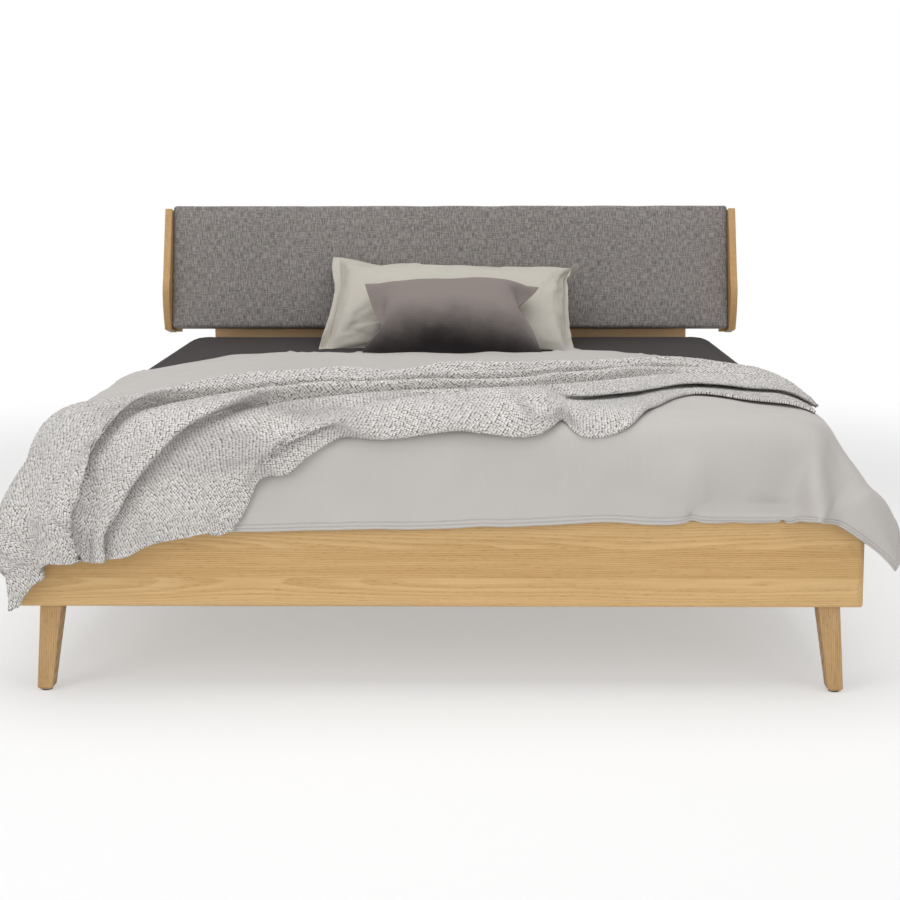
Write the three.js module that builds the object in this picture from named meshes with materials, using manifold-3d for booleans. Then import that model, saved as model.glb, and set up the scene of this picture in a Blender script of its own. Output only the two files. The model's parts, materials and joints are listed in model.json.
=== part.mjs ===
// A low oak bed for one double mattress. Its panel frame stands on splayed, tapered legs and
// carries an upholstered headboard that leans back between two oak cheeks. The bed is made up
// with a fitted sheet, a duvet, a pillow, a cushion and a knitted throw.
//
// Millimetres. +Z is up, +Y runs from the foot of the bed to its head and +X is to the right of
// someone who stands at the foot and looks at the headboard. The origin is on the floor under
// the middle of the frame.
import * as THREE from "three";
import { mergeVertices } from "three/addons/utils/BufferGeometryUtils.js";
import Module from "manifold-3d";

const wasm = await Module();
wasm.setup();

// ---------------------------------------------------------------- driving dimensions

// Mattress, and the room that the frame leaves around it.
const mattressWidth = 1800;
const mattressLength = 2000;
const mattressThickness = 240;
const mattressCornerRadius = 90;
const mattressEdgeRadius = 45;
const mattressSideGap = 25;
const mattressEndGap = 10;
const mattressRecess = 49; // how far the mattress sits below the rails' top edges

// Frame boards.
const floorClearance = 200;
const railHeight = 204;
const railThickness = 35;
const boardEndRadius = 20;
const boardEdgeRadius = 8;
const boardCornerRadius = 10;

// Legs.
const legTopWidth = 50;
const legTopDepth = 56;
const legFootWidth = 35;
const legFootDepth = 40;
const legSplay = 10;
const legSideSetback = 51;
const legEndSetback = 15;
const legEdgeRadius = 3;
const legFootChamfer = 6;
const legGlideThickness = 3;
const legGlideRadius = 13;

// Steel corner brackets and the machine screws that hold the frame together.
const bracketSteel = 4;
const bracketReach = 70;
const bracketFlange = 80;
const bracketFlangeChamfer = 25;
const bracketTopGap = 8;
const bracketScrewInset = 45;
const bracketScrewEdge = 26;
const screwRadius = 4;
const screwDepth = 24;
const legBoltRadius = 5;
const legBoltHeadRadius = 8.5;
const legBoltHeadHeight = 7;
const legBoltDepth = 60;
const boreClearance = 0.4;
const boreTipClearance = 2;

// Slatted base.
const slatCount = 13;
const slatWidth = 80;
const slatThickness = 20;
const slatEndGap = 2;
const slatRowInset = 20;
const slatEdgeRadius = 4;
const ledgerWidth = 30;
const ledgerHeight = 25;
const strapWidth = 25;
const strapThickness = 1.5;
const strapInset = 450;

// Centre beam, its hangers and its adjustable foot.
const beamWidth = 40;
const beamHeight = 60;
const hangerSteel = 3;
const hangerDepth = 45;
const hangerEarWidth = 18;
const hangerFit = 0.5;
const postWidth = 45;
const bushRadius = 7;
const bushFlangeRadius = 12;
const bushFlangeThickness = 2;
const bushLength = 27;
const spindleRadius = 5;
const spindleGrip = 45; // what the bush and the post still hold when the foot is all the way down
const glideRadius = 22;
const glideThickness = 8;
const collarRadius = 11;
const collarTop = 26;
const footTravelUp = 15;
const footTravelDown = 10;

// Headboard.
const headboardLean = 11.2; // degrees
const padWidth = 1903;
const padHeight = 423;
const padThickness = 65;
const padEdgeRadius = 14;
const padAboveFrame = 227;
const padSideGap = 0.5;
const backboardThickness = 18;
const backboardInset = 6;
const cheekThickness = 24;
const cheekEdgeRadius = 3;
const cheekTopDrop = 12;
const cheekFootDrop = 4;
const cheekFootSetback = 9;
const cheekNoseRise = 112;
const cheekNoseReach = 45;
const cheekTopReach = 14;
const cheekNoseBlend = 60;
const battenWidth = 20;
const battenDepth = 24;
const battenFootDrop = 2;
const battenTopDrop = 24;
const supportEndSetback = 131.5; // from each end of the pad
const supportThickness = 22;
const supportOverlap = 150;
const cleatWidth = 60;
const cleatHeight = 150;
const cleatFootRise = 12;
const cleatFootThickness = 36;
const cleatEndInset = 120;
const cleatScrewEdge = 35;
const supportScrewDrop = 60;
const supportScrewPitch = 460;
const backboardScrewDepth = 12;

// Bedding.
const sheetThickness = 1.5;
const sheetHemRise = 20;
const duvetThickness = 40;
const duvetHemThickness = 14;
const duvetHemTaper = 260;
const duvetHeadSetback = 590;
const duvetSideDrop = 330;
const duvetFootDrop = 225;
const drapeEdgeEase = 4;
const drapeFrameClearance = 14;
const drapeBendRadius = 70;
const throwThickness = 7;
const throwEase = 2.2;
const throwLeftDrop = 300;
const throwRightDrop = 120;
const throwFootDrop = 300;
const throwHemLow = 600;
const throwHemHigh = 250;
const pillowWidth = 820;
const pillowHeight = 400;
const pillowLoft = 170;
const pillowFlange = 32;
const pillowTilt = 40; // degrees from the mattress
const pillowOffset = 10;
const cushionWidth = 560;
const cushionHeight = 400;
const cushionLoft = 130;
const cushionTilt = 30; // degrees from the mattress
const cushionOffset = 8;
const cushionSetback = 80;

// Fits.
const seatGap = 0.3; // between pieces that meet on a sloping face
const softGap = 0.4; // between a soft piece and what it lies on

// ---------------------------------------------------------------- derived levels and lines

const innerHalfWidth = mattressWidth / 2 + mattressSideGap;
const innerHalfLength = mattressLength / 2 + mattressEndGap;
const frameHalfWidth = innerHalfWidth + railThickness;
const frameHalfLength = innerHalfLength + railThickness;
const railTop = floorClearance + railHeight;
const slatTop = railTop - mattressRecess;
const slatBottom = slatTop - slatThickness;
const ledgerBottom = slatBottom - ledgerHeight;
const beamBottom = slatBottom - beamHeight;
const bracketHeight = ledgerBottom - bracketTopGap - floorClearance;
const mattressBottom = slatTop + softGap;
const mattressTop = mattressBottom + mattressThickness;
const sheetTop = mattressTop + softGap + sheetThickness;
const lean = THREE.MathUtils.degToRad(headboardLean);
const backboardFront = padThickness + seatGap;
const backboardRear = backboardFront + backboardThickness;
const battenRear = backboardRear + seatGap + battenDepth;
const padFootZ = railTop + padAboveFrame;
const padFootY = frameHalfLength - cleatFootThickness - (backboardRear + seatGap) * Math.cos(lean);
const cheekInner = padWidth / 2 + padSideGap;
const supportWidth = padWidth - 2 * supportEndSetback;

// ---------------------------------------------------------------- materials

const oak = new THREE.MeshStandardMaterial({ color: 0xcbab7c, roughness: 0.55, metalness: 0 });
const pine = new THREE.MeshStandardMaterial({ color: 0xdcc79c, roughness: 0.7, metalness: 0 });
const plywood = new THREE.MeshStandardMaterial({ color: 0xcdb58c, roughness: 0.75, metalness: 0 });
const steel = new THREE.MeshStandardMaterial({ color: 0x8d9094, roughness: 0.4, metalness: 0.9 });
const blackPlastic = new THREE.MeshStandardMaterial({ color: 0x222224, roughness: 0.6, metalness: 0 });
const webbing = new THREE.MeshStandardMaterial({ color: 0xd8d4c8, roughness: 0.9, metalness: 0 });
const headboardCloth = new THREE.MeshStandardMaterial({ color: 0x7c7875, roughness: 0.95, metalness: 0 });
const ticking = new THREE.MeshStandardMaterial({ color: 0xe6e4df, roughness: 0.9, metalness: 0 });
const sheetCloth = new THREE.MeshStandardMaterial({ color: 0x454040, roughness: 0.9, metalness: 0 });
const duvetCloth = new THREE.MeshStandardMaterial({ color: 0xbbb7b4, roughness: 0.85, metalness: 0 });
const pillowCloth = new THREE.MeshStandardMaterial({ color: 0xc9c5ba, roughness: 0.85, metalness: 0 });
const velvet = new THREE.MeshStandardMaterial({ color: 0x565050, roughness: 0.7, metalness: 0 });
const knit = new THREE.MeshStandardMaterial({ color: 0xc6c2bf, roughness: 0.95, metalness: 0 });

// ---------------------------------------------------------------- geometry helpers

/** The same surface with shared vertices and without collapsed triangles. */
function sealed(geometry) {
  const bare = geometry.clone();
  bare.deleteAttribute("normal");
  bare.deleteAttribute("uv");
  const merged = mergeVertices(bare, 1e-4);
  const kept = [];
  const index = merged.index.array;
  for (let i = 0; i < index.length; i += 3) {
    const [a, b, c] = [index[i], index[i + 1], index[i + 2]];
    if (a !== b && b !== c && c !== a) kept.push(a, b, c);
  }
  merged.setIndex(kept);
  return merged;
}

function toSolid(geometry) {
  const closed = sealed(geometry);
  return new wasm.Manifold(new wasm.Mesh({
    numProp: 3,
    vertProperties: new Float32Array(closed.attributes.position.array),
    triVerts: new Uint32Array(closed.index.array),
  }));
}

function toGeometry(solid) {
  const mesh = solid.getMesh();
  const geometry = new THREE.BufferGeometry();
  geometry.setAttribute("position", new THREE.BufferAttribute(mesh.vertProperties, 3));
  geometry.setIndex(new THREE.BufferAttribute(mesh.triVerts, 1));
  return geometry;
}

const cut = (body, tools) =>
  toGeometry(tools.reduce((solid, tool) => solid.subtract(toSolid(tool)), toSolid(body)));
const join = (bodies) =>
  toGeometry(bodies.slice(1).reduce((solid, body) => solid.add(toSolid(body)), toSolid(bodies[0])));
const common = (bodies) =>
  toGeometry(bodies.slice(1).reduce((solid, body) => solid.intersect(toSolid(body)), toSolid(bodies[0])));

/** A box from its low and high corners. */
function boxBetween(low, high) {
  const [w, d, h] = high.map((value, i) => value - low[i]);
  return new THREE.BoxGeometry(w, d, h)
    .translate((low[0] + high[0]) / 2, (low[1] + high[1]) / 2, (low[2] + high[2]) / 2);
}

/** A rectangle on a plane, with a radius for each corner: low-low, high-low, high-high, low-high. */
function roundedRectangle(low, high, radii) {
  const shape = new THREE.Shape();
  const [ll, hl, hh, lh] = radii;
  const quarter = Math.PI / 2;
  shape.moveTo(low[0] + ll, low[1]);
  shape.lineTo(high[0] - hl, low[1]);
  if (hl > 0) shape.absarc(high[0] - hl, low[1] + hl, hl, -quarter, 0, false);
  shape.lineTo(high[0], high[1] - hh);
  if (hh > 0) shape.absarc(high[0] - hh, high[1] - hh, hh, 0, quarter, false);
  shape.lineTo(low[0] + lh, high[1]);
  if (lh > 0) shape.absarc(low[0] + lh, high[1] - lh, lh, quarter, 2 * quarter, false);
  shape.lineTo(low[0], low[1] + ll);
  if (ll > 0) shape.absarc(low[0] + ll, low[1] + ll, ll, 2 * quarter, 3 * quarter, false);
  return shape;
}

// Each axis maps a shape's own x, y and extrusion to three axes of the bed, in cyclic order.
const X = new THREE.Vector3(1, 0, 0);
const Y = new THREE.Vector3(0, 1, 0);
const Z = new THREE.Vector3(0, 0, 1);
const alongX = new THREE.Matrix4().makeBasis(Y, Z, X); // the shape is drawn in Y and Z
const alongY = new THREE.Matrix4().makeBasis(Z, X, Y); // the shape is drawn in Z and X
const alongZ = new THREE.Matrix4().makeBasis(X, Y, Z); // the shape is drawn in X and Y

/** Extrude a shape from one place on its axis to another, with rounded rims where bevel > 0. */
function extrude(shape, basis, from, to, bevel = 0, curveSegments = 5) {
  return new THREE.ExtrudeGeometry(shape, {
    depth: to - from - 2 * bevel,
    curveSegments,
    bevelEnabled: bevel > 0,
    bevelThickness: bevel,
    bevelSize: bevel,
    bevelOffset: -bevel,
    bevelSegments: 3,
  }).translate(0, 0, from + bevel).applyMatrix4(basis);
}

/** A turned piece from [radius, height] pairs that start and end on the axis, standing on +Z. */
function turned(profile, segments) {
  const points = profile.map(([radius, height]) => new THREE.Vector2(radius, height));
  return new THREE.LatheGeometry(points, segments).rotateX(Math.PI / 2);
}

/** A rod from a point, along a direction. */
function rod(start, direction, length, radius, segments = 12) {
  const turn = new THREE.Quaternion().setFromUnitVectors(Y, direction);
  return new THREE.CylinderGeometry(radius, radius, length, segments)
    .translate(0, length / 2, 0)
    .applyQuaternion(turn)
    .translate(...start);
}

/** A closed body through rings of points that all have the same number of points. */
function loft(rings) {
  const count = rings[0].length;
  const points = rings.flat();
  const index = [];
  for (let level = 0; level + 1 < rings.length; level += 1) {
    for (let i = 0; i < count; i += 1) {
      const a = level * count + i;
      const b = level * count + ((i + 1) % count);
      index.push(a, b, b + count, a, b + count, a + count);
    }
  }
  const last = (rings.length - 1) * count;
  for (let i = 1; i + 1 < count; i += 1) {
    index.push(0, i + 1, i);
    index.push(last, last + i, last + i + 1);
  }
  const geometry = new THREE.BufferGeometry();
  geometry.setAttribute("position", new THREE.Float32BufferAttribute(points.flat(), 3));
  geometry.setIndex(index);
  return geometry;
}

const bed = new THREE.Group();

/** Put a finished piece in the bed under its own name. */
function add(name, geometry, material) {
  const mesh = new THREE.Mesh(sealed(geometry), material);
  mesh.name = name;
  bed.add(mesh);
  return mesh;
}

const SIDES = [["left", -1], ["right", 1]];
const ENDS = [["front", -1], ["rear", 1]];

// ---------------------------------------------------------------- corner hardware positions

/** The places of one corner's screws: two through each leg of the bracket. */
function cornerScrewSeats(side, end) {
  const levels = [floorClearance + bracketScrewEdge, floorClearance + bracketHeight - bracketScrewEdge];
  return levels.flatMap((level) => [
    {
      seat: [side * (innerHalfWidth - bracketScrewInset), end * (innerHalfLength - bracketSteel), level],
      direction: Y.clone().multiplyScalar(end),
    },
    {
      seat: [side * (innerHalfWidth - bracketSteel), end * (innerHalfLength - bracketScrewInset), level],
      direction: X.clone().multiplyScalar(side),
    },
  ]);
}

/** The leg bolt stands in the middle of the leg's top, where the bracket's flange covers it. */
function legBoltPlace(side, end) {
  const legRear = frameHalfLength - legEndSetback - legTopDepth;
  return [
    side * (frameHalfWidth - legSideSetback - legTopWidth / 2),
    end * (innerHalfLength + legRear) / 2,
  ];
}

const cornerScrewBores = (side, end) => cornerScrewSeats(side, end).map(({ seat, direction }) =>
  rod(seat, direction, bracketSteel + screwDepth + boreTipClearance, screwRadius + boreClearance));

const supportScrewPlaces = [-1.5, -0.5, 0.5, 1.5].map((step) =>
  [step * supportScrewPitch, frameHalfLength + supportThickness, railTop - supportScrewDrop]);

const supportScrewBores = supportScrewPlaces.map((seat) =>
  rod(seat, Y.clone().negate(), supportThickness + screwDepth + boreTipClearance, screwRadius + boreClearance));

// ---------------------------------------------------------------- frame boards

/** A cross board of the frame: its outer edges are eased and its ends are rounded. */
function crossBoard(end) {
  const [inner, outer] = [end * innerHalfLength, end * frameHalfLength].sort((a, b) => a - b);
  const outerLast = end > 0;
  const section = roundedRectangle([inner, floorClearance], [outer, railTop], outerLast
    ? [0, boardEdgeRadius, boardEdgeRadius, 0]
    : [boardEdgeRadius, 0, 0, boardEdgeRadius]);
  const plan = roundedRectangle([-frameHalfWidth, inner], [frameHalfWidth, outer], outerLast
    ? [0, 0, boardEndRadius, boardEndRadius]
    : [boardEndRadius, boardEndRadius, 0, 0]);
  const elevation = roundedRectangle([floorClearance, -frameHalfWidth], [railTop, frameHalfWidth],
    Array(4).fill(boardCornerRadius));
  const bores = SIDES.flatMap(([, side]) => cornerScrewBores(side, end));
  if (end > 0) bores.push(...supportScrewBores);
  return cut(common([
    extrude(section, alongX, -frameHalfWidth, frameHalfWidth),
    extrude(plan, alongZ, floorClearance, railTop),
    extrude(elevation, alongY, inner, outer),
  ]), bores);
}

function sideRail(side) {
  const [low, high] = [side * innerHalfWidth, side * frameHalfWidth].sort((a, b) => a - b);
  const section = roundedRectangle([floorClearance, low], [railTop, high], side > 0
    ? [0, 0, boardEdgeRadius, boardEdgeRadius]
    : [boardEdgeRadius, boardEdgeRadius, 0, 0]);
  return cut(extrude(section, alongY, -innerHalfLength, innerHalfLength),
    ENDS.flatMap(([, end]) => cornerScrewBores(side, end)));
}

add("footboard", crossBoard(-1), oak);
add("head_rail", crossBoard(1), oak);
for (const [name, side] of SIDES) add(`side_rail_${name}`, sideRail(side), oak);

// ---------------------------------------------------------------- corner brackets and screws

/** A plan outline measured inwards from the frame's inner corner. */
function cornerShape(side, end, points) {
  return new THREE.Shape(points.map(([a, b]) =>
    new THREE.Vector2(side * (innerHalfWidth - a), end * (innerHalfLength - b))));
}

function cornerBracket(side, end) {
  const upright = cornerShape(side, end, [[0, 0], [bracketReach, 0], [bracketReach, bracketSteel],
    [bracketSteel, bracketSteel], [bracketSteel, bracketReach], [0, bracketReach]]);
  const near = bracketFlange - bracketFlangeChamfer;
  const flange = cornerShape(side, end, [[0, 0], [bracketFlange, 0], [bracketFlange, near],
    [near, bracketFlange], [0, bracketFlange]]);
  const [boltX, boltY] = legBoltPlace(side, end);
  return cut(join([
    extrude(upright, alongZ, floorClearance, floorClearance + bracketHeight),
    extrude(flange, alongZ, floorClearance, floorClearance + bracketSteel),
  ]), [
    ...cornerScrewSeats(side, end).map(({ seat, direction }) => rod(
      new THREE.Vector3(...seat).addScaledVector(direction, -bracketSteel).toArray(),
      direction, 3 * bracketSteel, screwRadius + boreClearance)),
    rod([boltX, boltY, floorClearance - bracketSteel], Z, 3 * bracketSteel, legBoltRadius + boreClearance),
  ]);
}

for (const [endName, end] of ENDS) {
  for (const [sideName, side] of SIDES) {
    add(`corner_bracket_${endName}_${sideName}`, cornerBracket(side, end), steel);
  }
}

// ---------------------------------------------------------------- legs

/** One level of a leg: a rectangle with eased corners, from the leg's outer corner inwards. */
function legRing(side, end, splay, width, depth, inset, level) {
  const outerX = frameHalfWidth - legSideSetback + splay - inset;
  const outerY = frameHalfLength - legEndSetback + splay - inset;
  const low = [outerX - width + 2 * inset, outerY - depth + 2 * inset];
  const points = roundedRectangle(low, [outerX, outerY], Array(4).fill(legEdgeRadius)).getPoints(2);
  const ring = points.slice(0, -1).map((point) => [side * point.x, end * point.y, level]);
  return side * end > 0 ? ring : ring.reverse();
}

function leg(side, end) {
  const chamferLevel = legGlideThickness + legFootChamfer;
  const share = (floorClearance - chamferLevel) / (floorClearance - legGlideThickness);
  const at = (top, foot) => THREE.MathUtils.lerp(top, foot, share);
  const [boltX, boltY] = legBoltPlace(side, end);
  return cut(loft([
    legRing(side, end, legSplay, legFootWidth, legFootDepth, legFootChamfer, legGlideThickness),
    legRing(side, end, at(0, legSplay), at(legTopWidth, legFootWidth), at(legTopDepth, legFootDepth),
      0, chamferLevel),
    legRing(side, end, 0, legTopWidth, legTopDepth, 0, floorClearance),
  ]), [rod([boltX, boltY, floorClearance + 1], Z.clone().negate(),
    legBoltDepth + boreTipClearance + 1, legBoltRadius + boreClearance)]);
}

/** The bolt that comes down through the bracket's flange and holds a leg. */
function legBolt(side, end) {
  const [boltX, boltY] = legBoltPlace(side, end);
  const shank = bracketSteel + legBoltDepth;
  return turned([
    [0, -shank],
    [legBoltRadius, -shank],
    [legBoltRadius, 0],
    [legBoltHeadRadius, 0],
    [legBoltHeadRadius, legBoltHeadHeight],
    [0, legBoltHeadHeight],
  ], 12).translate(boltX, boltY, floorClearance + bracketSteel);
}

function legGlide(side, end) {
  const centreX = frameHalfWidth - legSideSetback + legSplay - legFootWidth / 2;
  const centreY = frameHalfLength - legEndSetback + legSplay - legFootDepth / 2;
  return rod([side * centreX, end * centreY, 0], Z, legGlideThickness, legGlideRadius, 20);
}

for (const [endName, end] of ENDS) {
  for (const [sideName, side] of SIDES) {
    const corner = `${endName}_${sideName}`;
    add(`leg_${corner}`, leg(side, end), oak);
    add(`leg_bolt_${corner}`, legBolt(side, end), steel);
    add(`leg_glide_${corner}`, legGlide(side, end), blackPlastic);
  }
}

// ---------------------------------------------------------------- slatted base

for (const [name, side] of SIDES) {
  const [low, high] = [side * innerHalfWidth, side * (innerHalfWidth - ledgerWidth)].sort((a, b) => a - b);
  add(`ledger_${name}`, boxBetween([low, -innerHalfLength, ledgerBottom],
    [high, innerHalfLength, slatBottom]), pine);
}

const slatRow = innerHalfLength - slatRowInset - slatWidth / 2;
const slatSection = roundedRectangle([-slatWidth / 2, slatBottom], [slatWidth / 2, slatTop],
  Array(4).fill(slatEdgeRadius));
for (let i = 0; i < slatCount; i += 1) {
  const place = THREE.MathUtils.lerp(-slatRow, slatRow, i / (slatCount - 1));
  const length = innerHalfWidth - slatEndGap;
  add(`slat_${String(i + 1).padStart(2, "0")}`,
    extrude(slatSection, alongX, -length, length, 0, 2).translate(0, place, 0), pine);
}

for (const [name, side] of SIDES) {
  const reach = slatRow + slatWidth / 2;
  add(`slat_strap_${name}`, boxBetween(
    [side * strapInset - strapWidth / 2, -reach, slatBottom - strapThickness],
    [side * strapInset + strapWidth / 2, reach, slatBottom]), webbing);
}

// ---------------------------------------------------------------- centre beam, post and foot

const beamHalfLength = innerHalfLength - hangerSteel - hangerFit;
add("centre_beam", boxBetween([-beamWidth / 2, -beamHalfLength, beamBottom],
  [beamWidth / 2, beamHalfLength, slatBottom]), pine);

/** A steel stirrup: a back plate with two cheeks and a floor that the beam's end drops into. */
function beamHanger(end) {
  const pocket = beamWidth / 2 + hangerFit;
  const floorTop = beamBottom - seatGap;
  const plateHalf = pocket + hangerSteel + hangerEarWidth;
  const span = (near, far) => [end * (innerHalfLength - near), end * (innerHalfLength - far)].sort((a, b) => a - b);
  const [plateLow, plateHigh] = span(0, hangerSteel);
  const [cupLow, cupHigh] = span(0, hangerDepth);
  return join([
    boxBetween([-plateHalf, plateLow, floorTop - hangerSteel], [plateHalf, plateHigh, slatBottom]),
    boxBetween([-pocket - hangerSteel, cupLow, floorTop - hangerSteel], [pocket + hangerSteel, cupHigh, floorTop]),
    ...SIDES.map(([, side]) => {
      const [low, high] = [side * pocket, side * (pocket + hangerSteel)].sort((a, b) => a - b);
      return boxBetween([low, cupLow, floorTop - hangerSteel], [high, cupHigh, slatBottom - hangerSteel]);
    }),
  ]);
}

for (const [name, end] of ENDS) add(`beam_hanger_${name}`, beamHanger(end), steel);

const footStopGap = 1;
const bushBottom = collarTop + footTravelUp + footStopGap;
const postBottom = bushBottom + bushFlangeThickness;
const spindleTop = postBottom + spindleGrip + footTravelDown;
const boreRadius = bushRadius + boreClearance;

add("centre_post", cut(boxBetween([-postWidth / 2, -postWidth / 2, postBottom],
  [postWidth / 2, postWidth / 2, beamBottom]),
[rod([0, 0, postBottom - 1], Z, spindleTop + footTravelUp + boreTipClearance + 1 - postBottom, boreRadius, 24)]), pine);

add("post_bush", turned([
  [spindleRadius + boreClearance, bushBottom],
  [bushFlangeRadius, bushBottom],
  [bushFlangeRadius, postBottom],
  [bushRadius, postBottom],
  [bushRadius, bushBottom + bushLength],
  [spindleRadius + boreClearance, bushBottom + bushLength],
  [spindleRadius + boreClearance, bushBottom],
], 24), steel);

const socketFloor = glideThickness;
add("foot_spindle", rod([0, 0, socketFloor + seatGap], Z, spindleTop - socketFloor - seatGap, spindleRadius, 24), steel);

add("foot_glide", turned([
  [0, 0],
  [glideRadius - 2, 0],
  [glideRadius, 2],
  [glideRadius, glideThickness],
  [collarRadius, glideThickness + 4],
  [collarRadius, collarTop],
  [spindleRadius + boreClearance, collarTop],
  [spindleRadius + boreClearance, socketFloor],
  [0, socketFloor],
], 24), blackPlastic);

// ---------------------------------------------------------------- headboard

/** A point on the headboard's side view, from its rise up the leaning face and its depth behind it. */
function leanPoint(rise, back) {
  return new THREE.Vector2(
    padFootY + rise * Math.sin(lean) + back * Math.cos(lean),
    padFootZ + rise * Math.cos(lean) - back * Math.sin(lean),
  );
}

/** Where the backboard's rear face lies at a height above the floor. */
function backboardRearAt(level) {
  const foot = leanPoint(0, backboardRear);
  return foot.x + (level - foot.y) * Math.tan(lean);
}

/** A leaning slab's side view with eased corners. */
function leaningSlab(riseLow, riseHigh, backLow, backHigh, radius) {
  const flat = roundedRectangle([backLow, riseLow], [backHigh, riseHigh], Array(4).fill(radius));
  return new THREE.Shape(flat.getPoints(4).map((point) => leanPoint(point.y, point.x)));
}

const cleatTop = leanPoint(cleatFootRise + cleatHeight, backboardRear).y;
const cleatFoot = leanPoint(cleatFootRise, backboardRear).y;
const cleatPlaces = [-1, 0, 1].map((step) => step * (supportWidth / 2 - cleatEndInset));
const cleatLevels = [cleatFoot + cleatScrewEdge, cleatTop - cleatScrewEdge];
const headboardScrewPlaces = cleatPlaces.flatMap((x) =>
  cleatLevels.map((level) => [x, frameHalfLength + supportThickness, level]));
const headboardScrewShank = ([, y, level]) => y - backboardRearAt(level) + backboardScrewDepth;
const headboardScrewBores = headboardScrewPlaces.map((seat) =>
  rod(seat, Y.clone().negate(), headboardScrewShank(seat) + boreTipClearance, screwRadius + boreClearance));

add("support_board", cut(boxBetween(
  [-supportWidth / 2, frameHalfLength, railTop - supportOverlap],
  [supportWidth / 2, frameHalfLength + supportThickness, cleatTop]),
[...supportScrewBores, ...headboardScrewBores]), oak);

const cleatShape = new THREE.Shape([
  new THREE.Vector2(backboardRearAt(cleatFoot) + seatGap, cleatFoot),
  new THREE.Vector2(frameHalfLength, cleatFoot),
  new THREE.Vector2(frameHalfLength, cleatTop),
  new THREE.Vector2(backboardRearAt(cleatTop) + seatGap, cleatTop),
]);
const cleatNames = ["left", "centre", "right"];
cleatPlaces.forEach((place, i) => {
  add(`wedge_cleat_${cleatNames[i]}`, cut(extrude(cleatShape, alongX, place - cleatWidth / 2,
    place + cleatWidth / 2), headboardScrewBores.slice(2 * i, 2 * i + 2)), oak);
});

add("backboard", cut(extrude(leaningSlab(backboardInset, padHeight - backboardInset, backboardFront,
  backboardRear, 0), alongX, seatGap - cheekInner, cheekInner - seatGap), headboardScrewBores), plywood);

const pad = add("headboard_pad", extrude(leaningSlab(0, padHeight, 0, padThickness, padEdgeRadius), alongX,
  -padWidth / 2, padWidth / 2, padEdgeRadius / 2), headboardCloth);

/** An oak cheek's side view: a swept front edge whose nose stands ahead of the pad. */
function cheekShape() {
  const foot = leanPoint(-cheekFootDrop, cheekFootSetback);
  const nose = leanPoint(cheekNoseRise, -cheekNoseReach);
  const top = leanPoint(padHeight - cheekTopDrop, -cheekTopReach);
  const rearTop = leanPoint(padHeight - cheekTopDrop, battenRear);
  const rearFoot = leanPoint(-cheekFootDrop, battenRear);
  const upward = top.clone().sub(nose).normalize();
  const blend = nose.clone().addScaledVector(upward, cheekNoseBlend);
  const bend = new THREE.Vector2(nose.x, nose.y + cheekNoseBlend / 2);
  const shape = new THREE.Shape();
  shape.moveTo(rearFoot.x, rearFoot.y);
  shape.lineTo(foot.x, foot.y);
  shape.quadraticCurveTo(nose.x, (foot.y + nose.y) / 2, nose.x, nose.y);
  shape.quadraticCurveTo(bend.x, bend.y, blend.x, blend.y);
  shape.lineTo(top.x, top.y);
  shape.lineTo(rearTop.x, rearTop.y);
  return shape;
}

for (const [name, side] of SIDES) {
  const [low, high] = [side * cheekInner, side * (cheekInner + cheekThickness)].sort((a, b) => a - b);
  add(`cheek_${name}`, extrude(cheekShape(), alongX, low, high, cheekEdgeRadius, 8), oak);
  const [inner, outer] = [side * (cheekInner - battenWidth), side * cheekInner].sort((a, b) => a - b);
  add(`cheek_batten_${name}`, extrude(leaningSlab(-battenFootDrop, padHeight - battenTopDrop,
    backboardRear + seatGap, battenRear, 0), alongX, inner, outer), oak);
}

// ---------------------------------------------------------------- mattress and fitted sheet

/** A cushion-edged block as large as the mattress, grown by the same amount all round. */
function mattressBlock(growth, bottom) {
  const [halfWidth, halfLength] = [mattressWidth / 2 + growth, mattressLength / 2 + growth];
  const plan = roundedRectangle([-halfWidth, -halfLength], [halfWidth, halfLength],
    Array(4).fill(mattressCornerRadius + growth));
  return extrude(plan, alongZ, bottom, mattressTop + growth, mattressEdgeRadius + growth, 4);
}

add("mattress", mattressBlock(0, mattressBottom), ticking);

const sheetOuter = mattressBlock(softGap + sheetThickness, mattressBottom - mattressEdgeRadius);
const sheetInner = mattressBlock(softGap, mattressBottom - 2 * mattressEdgeRadius);
const sheetHem = mattressBottom + mattressEdgeRadius + sheetHemRise;
const belowHem = boxBetween([-frameHalfWidth, -frameHalfLength, 0], [frameHalfWidth, frameHalfLength, sheetHem]);
const sheet = add("fitted_sheet", cut(sheetOuter, [sheetInner, belowHem]), sheetCloth);

// ---------------------------------------------------------------- covers that drape over the mattress

const drapeRadius = mattressEdgeRadius + sheetThickness + softGap + drapeEdgeEase;
const drapeHalfWidth = mattressWidth / 2 + sheetThickness + softGap - mattressEdgeRadius;
const drapeFoot = -(mattressLength / 2 + sheetThickness + softGap - mattressEdgeRadius);
const frameSideReach = frameHalfWidth - drapeHalfWidth;
const frameFootReach = frameHalfLength + drapeFoot;

/** How a cover falls past the flat top in one direction: over the edge, past the frame, then down. */
function drapeFall(heading) {
  const corner = 6; // a rounded rectangle as a superellipse
  const reach = ((Math.cos(heading) / frameSideReach) ** corner
    + (Math.sin(heading) / frameFootReach) ** corner) ** (-1 / corner);
  const fall = sheetTop - drapeRadius - railTop;
  const slope = Math.atan2(fall, reach)
    + Math.asin((drapeRadius - drapeFrameClearance) / Math.hypot(reach, fall));
  return {
    slope,
    edge: slope * drapeRadius,
    straight: (fall + drapeRadius * Math.cos(slope)) / Math.sin(slope),
    bend: (Math.PI / 2 - slope) * drapeBendRadius,
  };
}

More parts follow.
